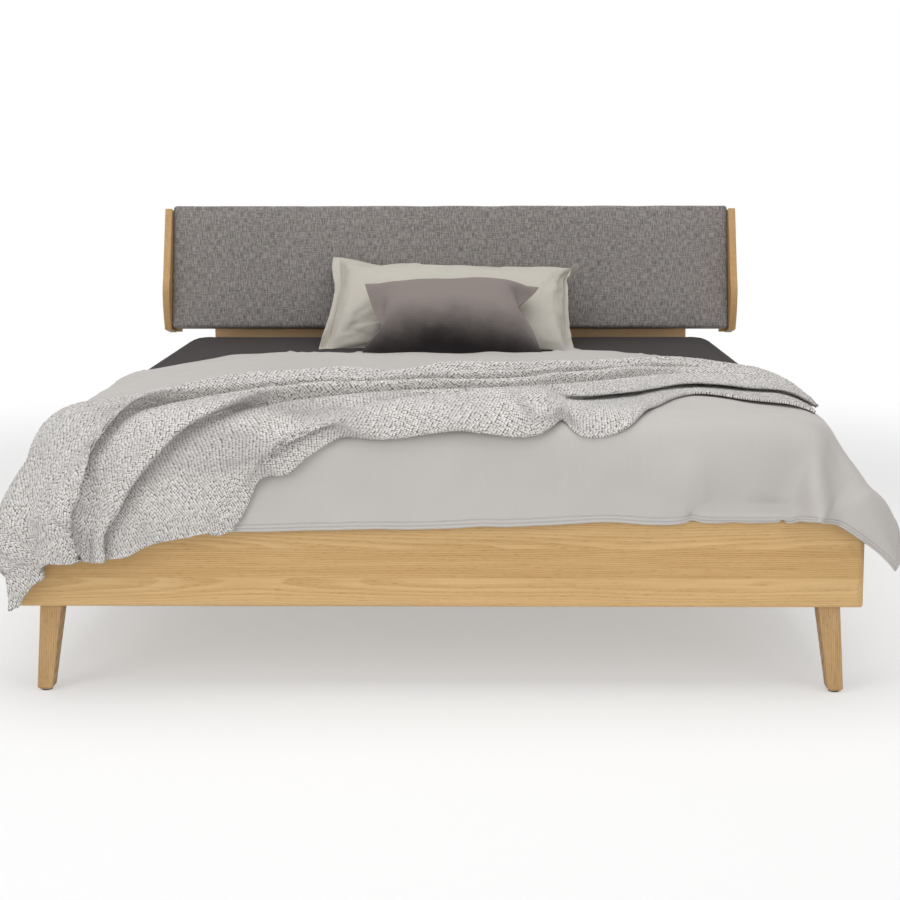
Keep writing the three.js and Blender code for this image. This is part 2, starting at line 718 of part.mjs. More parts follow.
/** How far out and down a hanging cover is, and how it faces, at a length past the flat top. */
function drapeProfile(length, heading) {
  const { slope, edge, straight, bend } = drapeFall(heading);
  const overEdge = Math.min(length, edge) / drapeRadius;
  const run = THREE.MathUtils.clamp(length - edge, 0, straight);
  const overBend = THREE.MathUtils.clamp(length - edge - straight, 0, bend) / drapeBendRadius;
  const hang = Math.max(0, length - edge - straight - bend);
  const facing = overEdge + overBend;
  return {
    facing,
    out: drapeRadius * Math.sin(overEdge) + run * Math.cos(slope)
      + drapeBendRadius * (Math.sin(facing) - Math.sin(overEdge)),
    down: drapeRadius * (1 - Math.cos(overEdge)) + run * Math.sin(slope)
      + drapeBendRadius * (Math.cos(overEdge) - Math.cos(facing)) + hang,
  };
}

/** A place on a cover, from where it lies on the flat cloth and its lift off the sheet. */
function draped(across, along, lift) {
  const pastSide = Math.max(0, Math.abs(across) - drapeHalfWidth);
  const pastFoot = Math.max(0, drapeFoot - along);
  const heading = Math.atan2(pastFoot, pastSide);
  const { out, down, facing } = drapeProfile(Math.hypot(pastSide, pastFoot), heading);
  const reach = out + lift * Math.sin(facing);
  const hand = Math.sign(across);
  return [
    hand * (Math.min(Math.abs(across), drapeHalfWidth) + reach * Math.cos(heading) * (pastSide > 0)),
    Math.max(along, drapeFoot) - reach * Math.sin(heading) * (pastFoot > 0),
    sheetTop - down + lift * Math.cos(facing),
  ];
}

/** Lines across a hanging cover, close together where it bends, from its flat edge to its hem. */
function drapeLines(flat, drop, heading) {
  const { edge, straight, bend } = drapeFall(heading);
  const marks = [
    ...[0, 0.25, 0.5, 0.75].map((share) => share * edge),
    ...[0, 0.33, 0.66].map((share) => edge + share * straight),
    ...[0, 0.33, 0.66, 1].map((share) => edge + straight + share * bend),
  ];
  return [...marks.filter((mark) => mark < 0.97 * drop), drop].map((mark) => flat + mark);
}

/** A closed shell between a lower and an upper grid of the same columns and rows. */
function shell(columns, rows, pointAt) {
  const [across, along] = [columns.length, rows.length];
  const points = [0, 1].flatMap((layer) => columns.flatMap((s) => rows.flatMap((t) => pointAt(s, t, layer))));
  const at = (layer, i, j) => (layer * across + i) * along + j;
  const index = [];
  const quad = (a, b, c, d) => index.push(a, b, c, a, c, d);
  for (let i = 0; i + 1 < across; i += 1) {
    for (let j = 0; j + 1 < along; j += 1) {
      quad(at(1, i, j), at(1, i + 1, j), at(1, i + 1, j + 1), at(1, i, j + 1));
      quad(at(0, i, j), at(0, i, j + 1), at(0, i + 1, j + 1), at(0, i + 1, j));
    }
    quad(at(0, i, 0), at(0, i + 1, 0), at(1, i + 1, 0), at(1, i, 0));
    quad(at(0, i, along - 1), at(1, i, along - 1), at(1, i + 1, along - 1), at(0, i + 1, along - 1));
  }
  for (let j = 0; j + 1 < along; j += 1) {
    quad(at(0, 0, j), at(1, 0, j), at(1, 0, j + 1), at(0, 0, j + 1));
    quad(at(0, across - 1, j), at(0, across - 1, j + 1), at(1, across - 1, j + 1), at(1, across - 1, j));
  }
  const geometry = new THREE.BufferGeometry();
  geometry.setAttribute("position", new THREE.Float32BufferAttribute(points, 3));
  geometry.setIndex(index);
  return geometry;
}

/** A closed cover over part of the flat cloth, between two lifts off the sheet. */
function cover(columns, rows, liftLow, liftHigh) {
  return shell(columns, rows, (s, t, layer) => draped(s, t, (layer ? liftHigh : liftLow)(s, t)));
}

const towardsSide = 0;
const towardsFoot = Math.PI / 2;
const mirrored = (lines) => lines.map((line) => -line).reverse();
const flatLines = [-0.75, -0.5, -0.25, 0, 0.25, 0.5, 0.75].map((share) => share * drapeHalfWidth);

/** The lines along a cover, from its foot hem to its head hem. */
function rowsBetween(footDrop, head) {
  const tapered = [1, 0.75, 0.5, 0.25, 0].map((share) => head - share * duvetHemTaper);
  const flat = [0.2, 0.45, 0.7].map((share) => THREE.MathUtils.lerp(drapeFoot, tapered[0], share));
  return [...mirrored(drapeLines(-drapeFoot, footDrop, towardsFoot)), ...flat, ...tapered];
}

/** The lines across a cover, from its left hem to its right hem. */
function columnsBetween(leftDrop, rightDrop) {
  return [...mirrored(drapeLines(drapeHalfWidth, leftDrop, towardsSide)), ...flatLines,
    ...drapeLines(drapeHalfWidth, rightDrop, towardsSide)];
}

const duvetSide = drapeHalfWidth + duvetSideDrop;
const duvetFoot = drapeFoot - duvetFootDrop;
const duvetHead = mattressLength / 2 - duvetHeadSetback;

/** The duvet's loft at a place on the flat cloth: thin at the hems and full inside. */
function duvetLoft(s, t) {
  const inward = Math.min(duvetSide - Math.abs(s), t - duvetFoot, duvetHead - t);
  const share = THREE.MathUtils.smoothstep(inward, 0, duvetHemTaper);
  return THREE.MathUtils.lerp(duvetHemThickness, duvetThickness, share);
}

const duvet = add("duvet", cover(columnsBetween(duvetSideDrop, duvetSideDrop), rowsBetween(duvetFootDrop, duvetHead),
  () => softGap, (s, t) => softGap + duvetLoft(s, t)), duvetCloth);

// The throw lies askew: a band at the right that spreads out and falls over the left front corner.
// Its corners are shares of half the mattress's width and, from its foot, of the mattress's length.
const throwReach = frameHalfWidth + throwLeftDrop;
const throwAt = ([across, fromFoot]) =>
  new THREE.Vector2(across * mattressWidth / 2, (fromFoot - 0.5) * mattressLength);
const throwOutline = new THREE.Shape();
throwOutline.moveTo(throwReach, throwAt([1, 0.47]).y);
throwOutline.splineThru([[0.444, 0.51], [-0.278, 0.395], [-0.667, 0.295]].map(throwAt));
throwOutline.lineTo(-throwReach, throwAt([-1, 0.28]).y);
throwOutline.lineTo(-throwReach, -throwReach - mattressLength / 2);
throwOutline.lineTo(-throwHemHigh, -throwReach - mattressLength / 2);
throwOutline.lineTo(-throwHemHigh / 2, throwAt([0, -0.015]).y);
throwOutline.splineThru([[0.311, -0.0125], [0.5, 0.1], [0.622, 0.2], [0.778, 0.24]].map(throwAt));
throwOutline.lineTo(throwReach, throwAt([1, 0.22]).y);

// Seen from the foot, its hem climbs from the hanging corner to the top of the bed.
const throwHemShape = new THREE.Shape();
throwHemShape.moveTo(0, -throwReach);
throwHemShape.lineTo(0, -throwHemLow);
throwHemShape.splineThru([[railTop, -0.75 * throwHemLow], [(railTop + sheetTop) / 2, -0.6 * throwHemLow],
  [sheetTop - drapeRadius / 2, -throwHemHigh]].map((point) => new THREE.Vector2(...point)));
throwHemShape.lineTo(sheetTop - drapeRadius / 2, drapeHalfWidth);
throwHemShape.lineTo(0, drapeHalfWidth);
throwHemShape.lineTo(0, throwReach);
throwHemShape.lineTo(2 * sheetTop, throwReach);
throwHemShape.lineTo(2 * sheetTop, -throwReach);

const throwLift = (s, t) => softGap + duvetLoft(s, t) + throwEase;
add("throw", common([
  cover(columnsBetween(throwLeftDrop, throwRightDrop), rowsBetween(throwFootDrop, duvetHead),
    throwLift, (s, t) => throwLift(s, t) + throwThickness),
  extrude(throwOutline, alongZ, 0, 2 * sheetTop),
  extrude(throwHemShape, alongY, -throwReach - frameHalfLength, duvetHead),
]), knit);

// ---------------------------------------------------------------- pillow and cushion

/** A stuffed cover: full in the middle, closing to its seam, with an optional flat flange. */
function stuffed(width, height, loft, flange, rim) {
  const steps = (half) => {
    const body = half - flange;
    const inner = [-0.97, -0.88, -0.7, -0.45, -0.15, 0.15, 0.45, 0.7, 0.88, 0.97].map((share) => share * body);
    return flange > 0 ? [-half, -body, ...inner, body, half] : [-half, ...inner, half];
  };
  const swell = (place, half) => Math.max(0, 1 - Math.abs(place / half) ** 3) ** 0.6;
  return shell(steps(width / 2), steps(height / 2), (x, y, layer) => {
    const full = swell(x, width / 2 - flange) * swell(y, height / 2 - flange);
    return [x, y, (2 * layer - 1) * (rim / 2 + (loft - rim) / 2 * full)];
  });
}

/** How far a solid can move along a direction before it comes within a gap of its neighbours. */
function freeTravel(solid, direction, neighbours, gap, reach) {
  const clear = (distance) => {
    const moved = solid.translate(direction.clone().multiplyScalar(distance).toArray());
    return neighbours.every((neighbour) => moved.minGap(neighbour, 2 * gap) >= gap);
  };
  let [free, blocked] = [0, reach];
  while (blocked - free > gap / 8) {
    const middle = (free + blocked) / 2;
    if (clear(middle)) free = middle;
    else blocked = middle;
  }
  return free;
}

/** Lower a tilted piece onto what lies under it, then push it back against what it leans on. */
function rest(geometry, tilt, start, under, behind) {
  geometry.rotateX(THREE.MathUtils.degToRad(tilt)).translate(...start);
  const neighbours = [...under, ...behind].map((mesh) => toSolid(mesh.geometry));
  for (const direction of [Z.clone().negate(), Y]) {
    const travel = freeTravel(toSolid(geometry), direction, neighbours, softGap, restReach);
    geometry.translate(...direction.clone().multiplyScalar(travel).toArray());
  }
  return geometry;
}

const restReach = 500;
const bedHead = mattressLength / 2;
const pillow = add("pillow", rest(stuffed(pillowWidth, pillowHeight, pillowLoft, pillowFlange, 4), pillowTilt,
  [pillowOffset, bedHead - pillowHeight, sheetTop + pillowHeight], [sheet], [pad]), pillowCloth);

add("cushion", rest(stuffed(cushionWidth, cushionHeight, cushionLoft, 0, 4), cushionTilt,
  [cushionOffset, bedHead - pillowHeight - cushionSetback, sheetTop + cushionHeight],
  [duvet, sheet], [pillow]), velvet);

export default bed;
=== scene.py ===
"""A low oak bed with a leaning upholstered headboard, made up for the night.

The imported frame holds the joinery. This script gives every board, slat and fitting its finish,
adds the screw heads, and builds the soft goods: the headboard's cover, the mattress, the fitted
sheet, the duvet, the pillow, the velvet cushion and the knitted throw.
"""

from __future__ import annotations

import json
import logging
import math
from collections.abc import Callable, Iterable, Iterator, Sequence
from contextlib import contextmanager
from dataclasses import dataclass
from enum import Enum

import bpy
import numpy as np
from mathutils import Euler, Matrix, Vector

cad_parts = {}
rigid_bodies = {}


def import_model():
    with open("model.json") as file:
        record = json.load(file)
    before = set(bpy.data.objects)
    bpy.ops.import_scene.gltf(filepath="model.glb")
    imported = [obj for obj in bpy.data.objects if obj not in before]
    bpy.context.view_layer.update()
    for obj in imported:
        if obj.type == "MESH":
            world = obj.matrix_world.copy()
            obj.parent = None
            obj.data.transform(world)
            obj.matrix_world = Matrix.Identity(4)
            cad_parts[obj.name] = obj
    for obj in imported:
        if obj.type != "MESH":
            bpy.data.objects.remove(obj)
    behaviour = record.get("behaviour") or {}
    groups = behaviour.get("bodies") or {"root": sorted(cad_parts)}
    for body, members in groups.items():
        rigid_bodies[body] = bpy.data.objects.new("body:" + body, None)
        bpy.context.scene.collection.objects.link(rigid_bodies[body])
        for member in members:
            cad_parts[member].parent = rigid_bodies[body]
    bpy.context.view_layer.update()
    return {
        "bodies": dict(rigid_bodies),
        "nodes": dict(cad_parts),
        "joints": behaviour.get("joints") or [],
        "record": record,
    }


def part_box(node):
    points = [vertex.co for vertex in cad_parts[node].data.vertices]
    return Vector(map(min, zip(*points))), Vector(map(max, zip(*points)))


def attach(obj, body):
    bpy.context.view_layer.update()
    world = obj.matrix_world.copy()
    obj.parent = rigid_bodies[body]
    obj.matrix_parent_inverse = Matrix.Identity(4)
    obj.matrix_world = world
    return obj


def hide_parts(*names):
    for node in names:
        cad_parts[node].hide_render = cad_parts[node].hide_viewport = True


LOG = logging.getLogger("bed")
BED = "bed"
CLOTH_UV = "cloth"

Colour = tuple[float, float, float, float]
Triple = tuple[float, float, float]
Socket = bpy.types.NodeSocket
Array = np.ndarray


def paint(red: int, green: int, blue: int) -> Colour:
    """Turns a paint-chart colour into the linear colour that shaders use.

    Args:
        red: Red, from 0 to 255.
        green: Green, from 0 to 255.
        blue: Blue, from 0 to 255.

    Returns:
        The same colour, linear, with full alpha.
    """

    def linear(level: int) -> float:
        """Undoes the display curve of one channel."""
        share = level / 255
        return share / 12.92 if share <= 0.04045 else ((share + 0.055) / 1.055) ** 2.4

    return linear(red), linear(green), linear(blue), 1.0


def place_object(name: str, data: bpy.types.ID) -> bpy.types.Object:
    """Puts a mesh, curve, lamp or camera in the scene, as an object at the origin."""
    made = bpy.data.objects.new(name, data)
    bpy.context.scene.collection.objects.link(made)
    return made


# ---------- node wiring


class Wiring:
    """Adds nodes to one node tree and joins them."""

    def __init__(self, tree: bpy.types.NodeTree) -> None:
        """Keeps the tree that every call adds to."""
        self.tree = tree

    def add(self, kind: str, *values: object, **settings: object) -> bpy.types.Node:
        """Adds a node.

        Args:
            kind: The node's type.
            *values: A value or a socket for each input, from the first one on.
            **settings: The node's options.

        Returns:
            The new node.
        """
        node = self.tree.nodes.new(kind)
        for name, value in settings.items():
            setattr(node, name, value)
        for target, value in zip(node.inputs, values):
            self.feed(target, value)
        return node

    def feed(self, target: Socket, value: object) -> None:
        """Links a node's input to another node's output, or sets it to a plain value."""
        if isinstance(value, bpy.types.NodeSocket):
            self.tree.links.new(value, target)
        else:
            target.default_value = value

    def fill(self, node: bpy.types.Node, **values: object) -> bpy.types.Node:
        """Feeds a node's inputs by name, with underscores for spaces, and hands the node back."""
        for name, value in values.items():
            self.feed(node.inputs[name.replace("_", " ")], value)
        return node

    def maths(self, operation: str, *values: object, clamp: bool = False) -> Socket:
        """Works out one number from others."""
        return self.add("ShaderNodeMath", *values, operation=operation, use_clamp=clamp).outputs[0]

    def plus(self, first: object, second: object, clamp: bool = False) -> Socket:
        """Adds two numbers."""
        return self.maths("ADD", first, second, clamp=clamp)

    def minus(self, first: object, second: object) -> Socket:
        """Takes the second number from the first."""
        return self.maths("SUBTRACT", first, second)

    def times(self, first: object, second: object) -> Socket:
        """Multiplies two numbers."""
        return self.maths("MULTIPLY", first, second)

    def over(self, first: object, second: object) -> Socket:
        """Divides the first number by the second."""
        return self.maths("DIVIDE", first, second)

    def scaled(self, value: object, factor: object, start: object) -> Socket:
        """Multiplies a number by a factor and adds it to a start."""
        return self.maths("MULTIPLY_ADD", value, factor, start)

    def swing(self, value: object, reach: object, start: object, clamp: bool = False) -> Socket:
        """Lets a value from 0 to 1 swing a number up and down, by half its reach each way."""
        return self.maths("MULTIPLY_ADD", self.minus(value, 0.5), reach, start, clamp=clamp)

    def vector(self, operation: str, *values: object) -> Socket:
        """Works out one vector from others."""
        return self.add("ShaderNodeVectorMath", *values, operation=operation).outputs[0]

    def length(self, vector: object) -> Socket:
        """How long a vector is."""
        return self.add("ShaderNodeVectorMath", vector, operation="LENGTH").outputs["Value"]

    def split(self, vector: object) -> tuple[Socket, Socket, Socket]:
        """Takes a vector apart."""
        return tuple(self.add("ShaderNodeSeparateXYZ", vector).outputs)

    def join(self, x: object, y: object, z: object) -> Socket:
        """Puts a vector together."""
        return self.add("ShaderNodeCombineXYZ", x, y, z).outputs[0]

    def place(self, vector: object, turn: Triple = (0, 0, 0), scale: Triple = (1, 1, 1)) -> Socket:
        """Turns and stretches a pattern's coordinates."""
        return self.fill(self.add("ShaderNodeMapping"), Vector=vector, Rotation=turn, Scale=scale).outputs[0]

    def noise(self, vector: object, scale: object, detail: float = 2.0, roughness: float = 0.5) -> Socket:
        """A smooth random value from 0 to 1."""
        node = self.add("ShaderNodeTexNoise")
        return self.fill(node, Vector=vector, Scale=scale, Detail=detail, Roughness=roughness).outputs[0]

    def spread(self, value: object, low: float, high: float, to_low: float = 0.0, to_high: float = 1.0) -> Socket:
        """Stretches a range of values over another, with soft ends."""
        values = value, low, high, to_low, to_high
        return self.add("ShaderNodeMapRange", *values, interpolation_type="SMOOTHSTEP").outputs[0]

    def mix(self, share: object, first: object, second: object) -> Socket:
        """Mixes a share of the second colour into the first."""
        node = self.add("ShaderNodeMix", data_type="RGBA", blend_type="MIX")
        for index, value in ((0, share), (6, first), (7, second)):
            self.feed(node.inputs[index], value)
        return node.outputs[2]

    def bump(self, height: Socket, distance: float, strength: float = 1.0) -> Socket:
        """Turns a height from 0 to 1 into a normal, for a relief of that many metres."""
        node = self.add("ShaderNodeBump")
        return self.fill(node, Strength=strength, Distance=distance, Height=height).outputs[0]

    def object_place(self) -> Socket:
        """The place on the object, in metres."""
        return self.add("ShaderNodeTexCoord").outputs["Object"]

    def cloth_place(self) -> Socket:
        """The place on the flat cloth, in metres."""
        return self.add("ShaderNodeUVMap", uv_map=CLOTH_UV).outputs["UV"]

    def facing_up(self) -> Socket:
        """How far a face looks up, from -1 to 1."""
        return self.split(self.add("ShaderNodeNewGeometry").outputs["Normal"])[2]


@dataclass(frozen=True)
class Effect:
    """A shader node group: its name, and its sockets with their starting values."""

    name: str
    inputs: tuple[tuple[str, str, object], ...]
    outputs: tuple[tuple[str, str], ...]
    wire: Callable[[Wiring, dict[str, Socket]], tuple[Socket, ...]]

    def tree(self) -> bpy.types.NodeTree:
        """Builds the group the first time that a material asks for it.

        Returns:
            The group's node tree.
        """
        made = bpy.data.node_groups.get(self.name)
        if made:
            return made
        made = bpy.data.node_groups.new(self.name, "ShaderNodeTree")
        for label, kind, start in self.inputs:
            socket = made.interface.new_socket(label, in_out="INPUT", socket_type=f"NodeSocket{kind}")
            if start is not None:
                socket.default_value = start
        for label, kind in self.outputs:
            made.interface.new_socket(label, in_out="OUTPUT", socket_type=f"NodeSocket{kind}")
        wiring = Wiring(made)
        entry = wiring.add("NodeGroupInput")
        results = self.wire(wiring, {label: entry.outputs[label] for label, _, _ in self.inputs})
        wiring.add("NodeGroupOutput", *results)
        return made

    def values_of(self, source: object) -> dict[str, object]:
        """Reads the group's inputs from another object's fields of the same names, where it has them."""
        labels = (label.replace(" ", "_") for label, _, _ in self.inputs)
        return {label: getattr(source, label.lower()) for label in labels if hasattr(source, label.lower())}

    def use(self, wiring: Wiring, **values: object) -> dict[str, Socket]:
        """Places the group in a material with its own values.

        Args:
            wiring: The material's wiring.
            **values: Input values or sockets, with underscores for spaces.

        Returns:
            The group's outputs by name.
        """
        node = wiring.fill(wiring.add("ShaderNodeGroup", node_tree=self.tree()), **values)
        return {label: node.outputs[label] for label, _ in self.outputs}


# How the parts of the wood pattern are stretched, along the grain and twice across it.
RIPPLE_SCALE = (2.2, 16.0, 16.0)
FIBRE_SCALE = (5.0, 330.0, 330.0)
STREAK_SCALE = (1.4, 45.0, 45.0)
PORE_SCALE = (42.0, 820.0, 820.0)
RIPPLE_HEIGHT = 0.005
STAVE_SHIFT = 17.0
FACE_SLOPE = -0.6


def wire_wood(wiring: Wiring, given: dict[str, Socket]) -> tuple[Socket, ...]:
    """Wires growth rings, fibres and pores of a glued-up board whose grain runs along X.

    Args:
        wiring: The group's wiring.
        given: The group's inputs.

    Returns:
        The colour, the height and the roughness.
    """
    along, depth, across = wiring.split(given["Vector"])
    raised = wiring.minus(across, given["Stave Start"])
    stave = wiring.maths("FLOOR", wiring.over(raised, given["Stave Height"]))
    chance = wiring.add("ShaderNodeTexWhiteNoise", noise_dimensions="1D")
    wiring.fill(chance, W=wiring.plus(stave, given["Seed"]))
    own, second, third = wiring.split(chance.outputs["Color"])
    shifted = wiring.plus(along, wiring.times(own, STAVE_SHIFT))
    bend = wiring.noise(wiring.join(shifted, stave, 0.0), 1.6, 2.0)
    sway = wiring.times(wiring.minus(bend, 0.5), given["Sway"])
    middle = wiring.swing(second, given["Pith Spread"], stave)
    middle = wiring.times(wiring.plus(middle, 0.5), given["Stave Height"])
    offset = wiring.plus(wiring.minus(raised, middle), sway)
    drift = wiring.noise(wiring.join(shifted, wiring.times(stave, 3.7), 5.0), 0.9, 1.0)
    pith = wiring.scaled(drift, given["Drift"], wiring.times(third, given["Pith"]))
    below = wiring.minus(wiring.maths("ABSOLUTE", depth), given["Face"])
    pith = wiring.scaled(below, FACE_SLOPE, pith)
    radius = wiring.maths("SQRT", wiring.plus(wiring.times(offset, offset), wiring.times(pith, pith)))
    board = wiring.join(shifted, depth, across)
    ripple = wiring.noise(wiring.place(board, scale=RIPPLE_SCALE), 1.0, 3.0, 0.6)
    radius = wiring.scaled(ripple, RIPPLE_HEIGHT, radius)
    phase = wiring.maths("FRACT", wiring.over(radius, given["Ring Spacing"]))
    late = wiring.spread(phase, 0.15, 0.95)
    edge = wiring.spread(phase, 0.0, 0.12, 1.0, 0.0)
    ring = wiring.maths("MAXIMUM", late, edge)
    fibre = wiring.noise(wiring.place(board, scale=FIBRE_SCALE), 1.0, 3.0, 0.65)
    streak = wiring.noise(wiring.place(board, scale=STREAK_SCALE), 1.0, 2.0)
    pore = wiring.spread(wiring.noise(wiring.place(board, scale=PORE_SCALE), 1.0, 1.0), 0.60, 0.68)
    pore = wiring.times(pore, wiring.times(given["Pores"], wiring.spread(ring, 0.2, 0.8, 0.35, 1.0)))
    tone = wiring.swing(own, given["Stave Tone"], 0.5)
    share = wiring.scaled(wiring.minus(ring, 0.45), given["Ring Strength"], tone)
    share = wiring.swing(fibre, 0.75, share)
    share = wiring.swing(streak, 0.55, share)
    share = wiring.plus(share, wiring.times(pore, 0.5), clamp=True)
    colour = wiring.mix(share, given["Light"], given["Dark"])
    height = wiring.minus(wiring.times(fibre, 0.5), pore)
    return colour, height, wiring.scaled(share, 0.16, given["Roughness"])


WOOD = Effect(
    name="wood_grain",
    inputs=(
        ("Vector", "Vector", None),
        ("Light", "Color", (0.8, 0.6, 0.4, 1)),
        ("Dark", "Color", (0.5, 0.3, 0.2, 1)),
        ("Stave Start", "Float", 0.0),
        ("Stave Height", "Float", 0.07),
        ("Stave Tone", "Float", 0.3),
        ("Ring Spacing", "Float", 0.004),
        ("Ring Strength", "Float", 0.5),
        ("Pith", "Float", 0.1),
        ("Pith Spread", "Float", 3.0),
        ("Face", "Float", 1.0),
        ("Drift", "Float", 0.1),
        ("Sway", "Float", 0.02),
        ("Pores", "Float", 1.0),
        ("Roughness", "Float", 0.5),
        ("Seed", "Float", 0.0),
    ),
    outputs=(("Color", "Color"), ("Height", "Float"), ("Roughness", "Float")),
    wire=wire_wood,
)


def wire_weave(wiring: Wiring, given: dict[str, Socket]) -> tuple[Socket, ...]:
    """Wires crossing yarns: their relief, and the chance tone of each slub both ways.

    Args:
        wiring: The group's wiring.
        given: The group's inputs.

    Returns:
        The height and the tone.
    """
    u, v, _ = wiring.split(given["Vector"])
    turns = (wiring.times(wiring.over(place, given["Pitch"]), math.pi) for place in (u, v))
    waves = (wiring.maths("SINE", turn) for turn in turns)
    relief = wiring.scaled(wiring.times(*waves), 0.5, 0.5)
    flat = wiring.join(u, v, 0.0)
    fine, long = given["Fine"], given["Long"]
    warp = wiring.noise(wiring.vector("MULTIPLY", flat, wiring.join(fine, long, 1.0)), 1.0, 2.0, 0.6)
    weft = wiring.noise(wiring.vector("MULTIPLY", flat, wiring.join(long, fine, 1.0)), 1.0, 2.0, 0.6)
    slub = wiring.scaled(warp, 0.6, wiring.times(weft, 0.4))
    tone = wiring.spread(slub, 0.34, 0.66)
    return wiring.scaled(tone, 0.6, wiring.times(relief, 0.4)), tone


WEAVE = Effect(
    name="yarn_weave",
    inputs=(("Vector", "Vector", None), ("Pitch", "Float", 0.001), ("Fine", "Float", 400.0), ("Long", "Float", 80.0)),
    outputs=(("Height", "Float"), ("Tone", "Float")),
    wire=wire_weave,
)


def wire_handling(wiring: Wiring, given: dict[str, Socket]) -> tuple[Socket, ...]:
    """Wires soft patches of handling, with a little more dust on faces that look up.

    Args:
        wiring: The group's wiring.
        given: The group's inputs.

    Returns:
        The mask alone.
    """
    patch = wiring.noise(given["Vector"], given["Scale"], 4.0, 0.6)
    lying = wiring.spread(wiring.facing_up(), 0.3, 1.0, 0.4, 1.0)
    mask = wiring.times(wiring.spread(patch, 0.35, 0.75), lying)
    return (wiring.times(mask, given["Amount"]),)


HANDLING = Effect(
    name="handling_marks",
    inputs=(("Vector", "Vector", None), ("Scale", "Float", 6.0), ("Amount", "Float", 0.2)),
    outputs=(("Mask", "Float"),),
    wire=wire_handling,
)


# ---------- finishes


class Grain(Enum):
    """The way that a board's grain runs, as the turn that brings it to a pattern's X."""

    SIDEWAYS = (0.0, 0.0, 0.0)
    LENGTHWAYS = (0.0, 0.0, -math.pi / 2)
    UPRIGHT = (0.0, math.pi / 2, 0.0)
    SIDEWAYS_FLAT = (math.pi / 2, 0.0, 0.0)


def start_material(name: str) -> tuple[bpy.types.Material, Wiring, bpy.types.Node]:
    """Makes an empty material.

    Args:
        name: The material's name.

    Returns:
        The material, its wiring and its shader.
    """
    material = bpy.data.materials.new(name)
    material.use_nodes = True
    shader = material.node_tree.nodes["Principled BSDF"]
    return material, Wiring(material.node_tree), shader


@dataclass(frozen=True)
class WoodFinish:
    """Oiled timber: rings, fibres and pores, with staves where the board is glued up."""

    name: str
    light: Colour
    dark: Colour
    grain: Grain
    stave_height: float = 1.0
    stave_start: float = -3.0
    stave_tone: float = 0.0
    ring_spacing: float = 0.0042
    ring_strength: float = 0.34
    pith: float = 0.05
    pith_spread: float = 3.0
    face: float = 1.045
    drift: float = 0.045
    sway: float = 0.012
    pores: float = 1.0
    roughness: float = 0.46
    relief: float = 0.00035
    seed: float = 0.0

    def material(self) -> bpy.types.Material:
        """Builds the finish on Object coordinates.

        Returns:
            The new material.
        """
        material, wiring, shader = start_material(self.name)
        position = wiring.object_place()
        board = wiring.place(position, turn=self.grain.value)
        wood = WOOD.use(wiring, Vector=board, **WOOD.values_of(self))
        marks = HANDLING.use(wiring, Vector=position, Scale=5.0, Amount=0.10)
        wiring.fill(
            shader,
            Base_Color=wiring.mix(marks["Mask"], wood["Color"], self.dark),
            Roughness=wood["Roughness"],
            Normal=wiring.bump(wood["Height"], self.relief),
            Specular_IOR_Level=0.32,
        )
        return material


@dataclass(frozen=True)
class SteelFinish:
    """Zinc-plated steel with rolling marks and a few duller patches."""

    name: str
    colour: Colour
    roughness: float = 0.34
    dulled: float = 0.55

    def material(self) -> bpy.types.Material:
        """Builds the finish on Object coordinates.

        Returns:
            The new material.
        """
        material, wiring, shader = start_material(self.name)
        position = wiring.object_place()
        rolled = wiring.noise(wiring.place(position, scale=(20.0, 20.0, 900.0)), 1.0, 2.0)
        marks = HANDLING.use(wiring, Vector=position, Scale=30.0, Amount=0.5)
        dull = tuple(self.dulled * level for level in self.colour[:3]) + (1.0,)
        rough = wiring.scaled(rolled, 0.12, self.roughness)
        wiring.fill(
            shader,
            Base_Color=wiring.mix(marks["Mask"], self.colour, dull),
            Roughness=wiring.scaled(marks["Mask"], 0.3, rough),
            Normal=wiring.bump(rolled, 0.00006),
            Metallic=1.0,
        )
        return material


@dataclass(frozen=True)
class PlasticFinish:
    """Moulded plastic with a fine spark-eroded grain."""

    name: str
    colour: Colour
    worn: Colour = paint(88, 86, 84)

    def material(self) -> bpy.types.Material:
        """Builds the finish on Object coordinates.

        Returns:
            The new material.
        """
        material, wiring, shader = start_material(self.name)
        position = wiring.object_place()
        grain = wiring.noise(position, 1400.0, 2.0)
        marks = HANDLING.use(wiring, Vector=position, Scale=40.0, Amount=0.5)
        wiring.fill(
            shader,
            Base_Color=wiring.mix(marks["Mask"], self.colour, self.worn),
            Roughness=wiring.scaled(grain, 0.25, 0.42),
            Normal=wiring.bump(grain, 0.0001),
        )
        return material


class WeaveSpace(Enum):
    """Where a weave takes its coordinates from."""

    CLOTH = "the piece's own cloth map"
    OBJECT = "Object coordinates"


@dataclass(frozen=True)
class WovenFinish:
    """A woven cloth: crossing yarns with slubs, and a sheen at its grazing edges."""

    name: str
    light: Colour
    dark: Colour
    pitch: float = 0.0009
    fine: float = 420.0
    long: float = 75.0
    contrast: float = 1.0
    relief: float = 0.0004
    roughness: float = 0.9
    sheen: float = 0.25
    drift: float = 0.12
    space: WeaveSpace = WeaveSpace.CLOTH

    def material(self) -> bpy.types.Material:
        """Builds the finish on the cloth's own map, or on Object coordinates.

        Returns:
            The new material.
        """
        material, wiring, shader = start_material(self.name)
        position = wiring.cloth_place() if self.space is WeaveSpace.CLOTH else wiring.object_place()
        weave = WEAVE.use(wiring, Vector=position, **WEAVE.values_of(self))
        patch = wiring.spread(wiring.noise(position, 2.3, 3.0), 0.3, 0.7)
        share = wiring.swing(weave["Tone"], self.contrast, 0.5)
        share = wiring.swing(patch, self.drift, share, clamp=True)
        wiring.fill(
            shader,
            Base_Color=wiring.mix(share, self.dark, self.light),
            Roughness=wiring.scaled(weave["Tone"], -0.08, self.roughness),
            Normal=wiring.bump(weave["Height"], self.relief),
            Sheen_Weight=self.sheen,
            Sheen_Roughness=0.5,
            Specular_IOR_Level=0.2,
        )
        return material


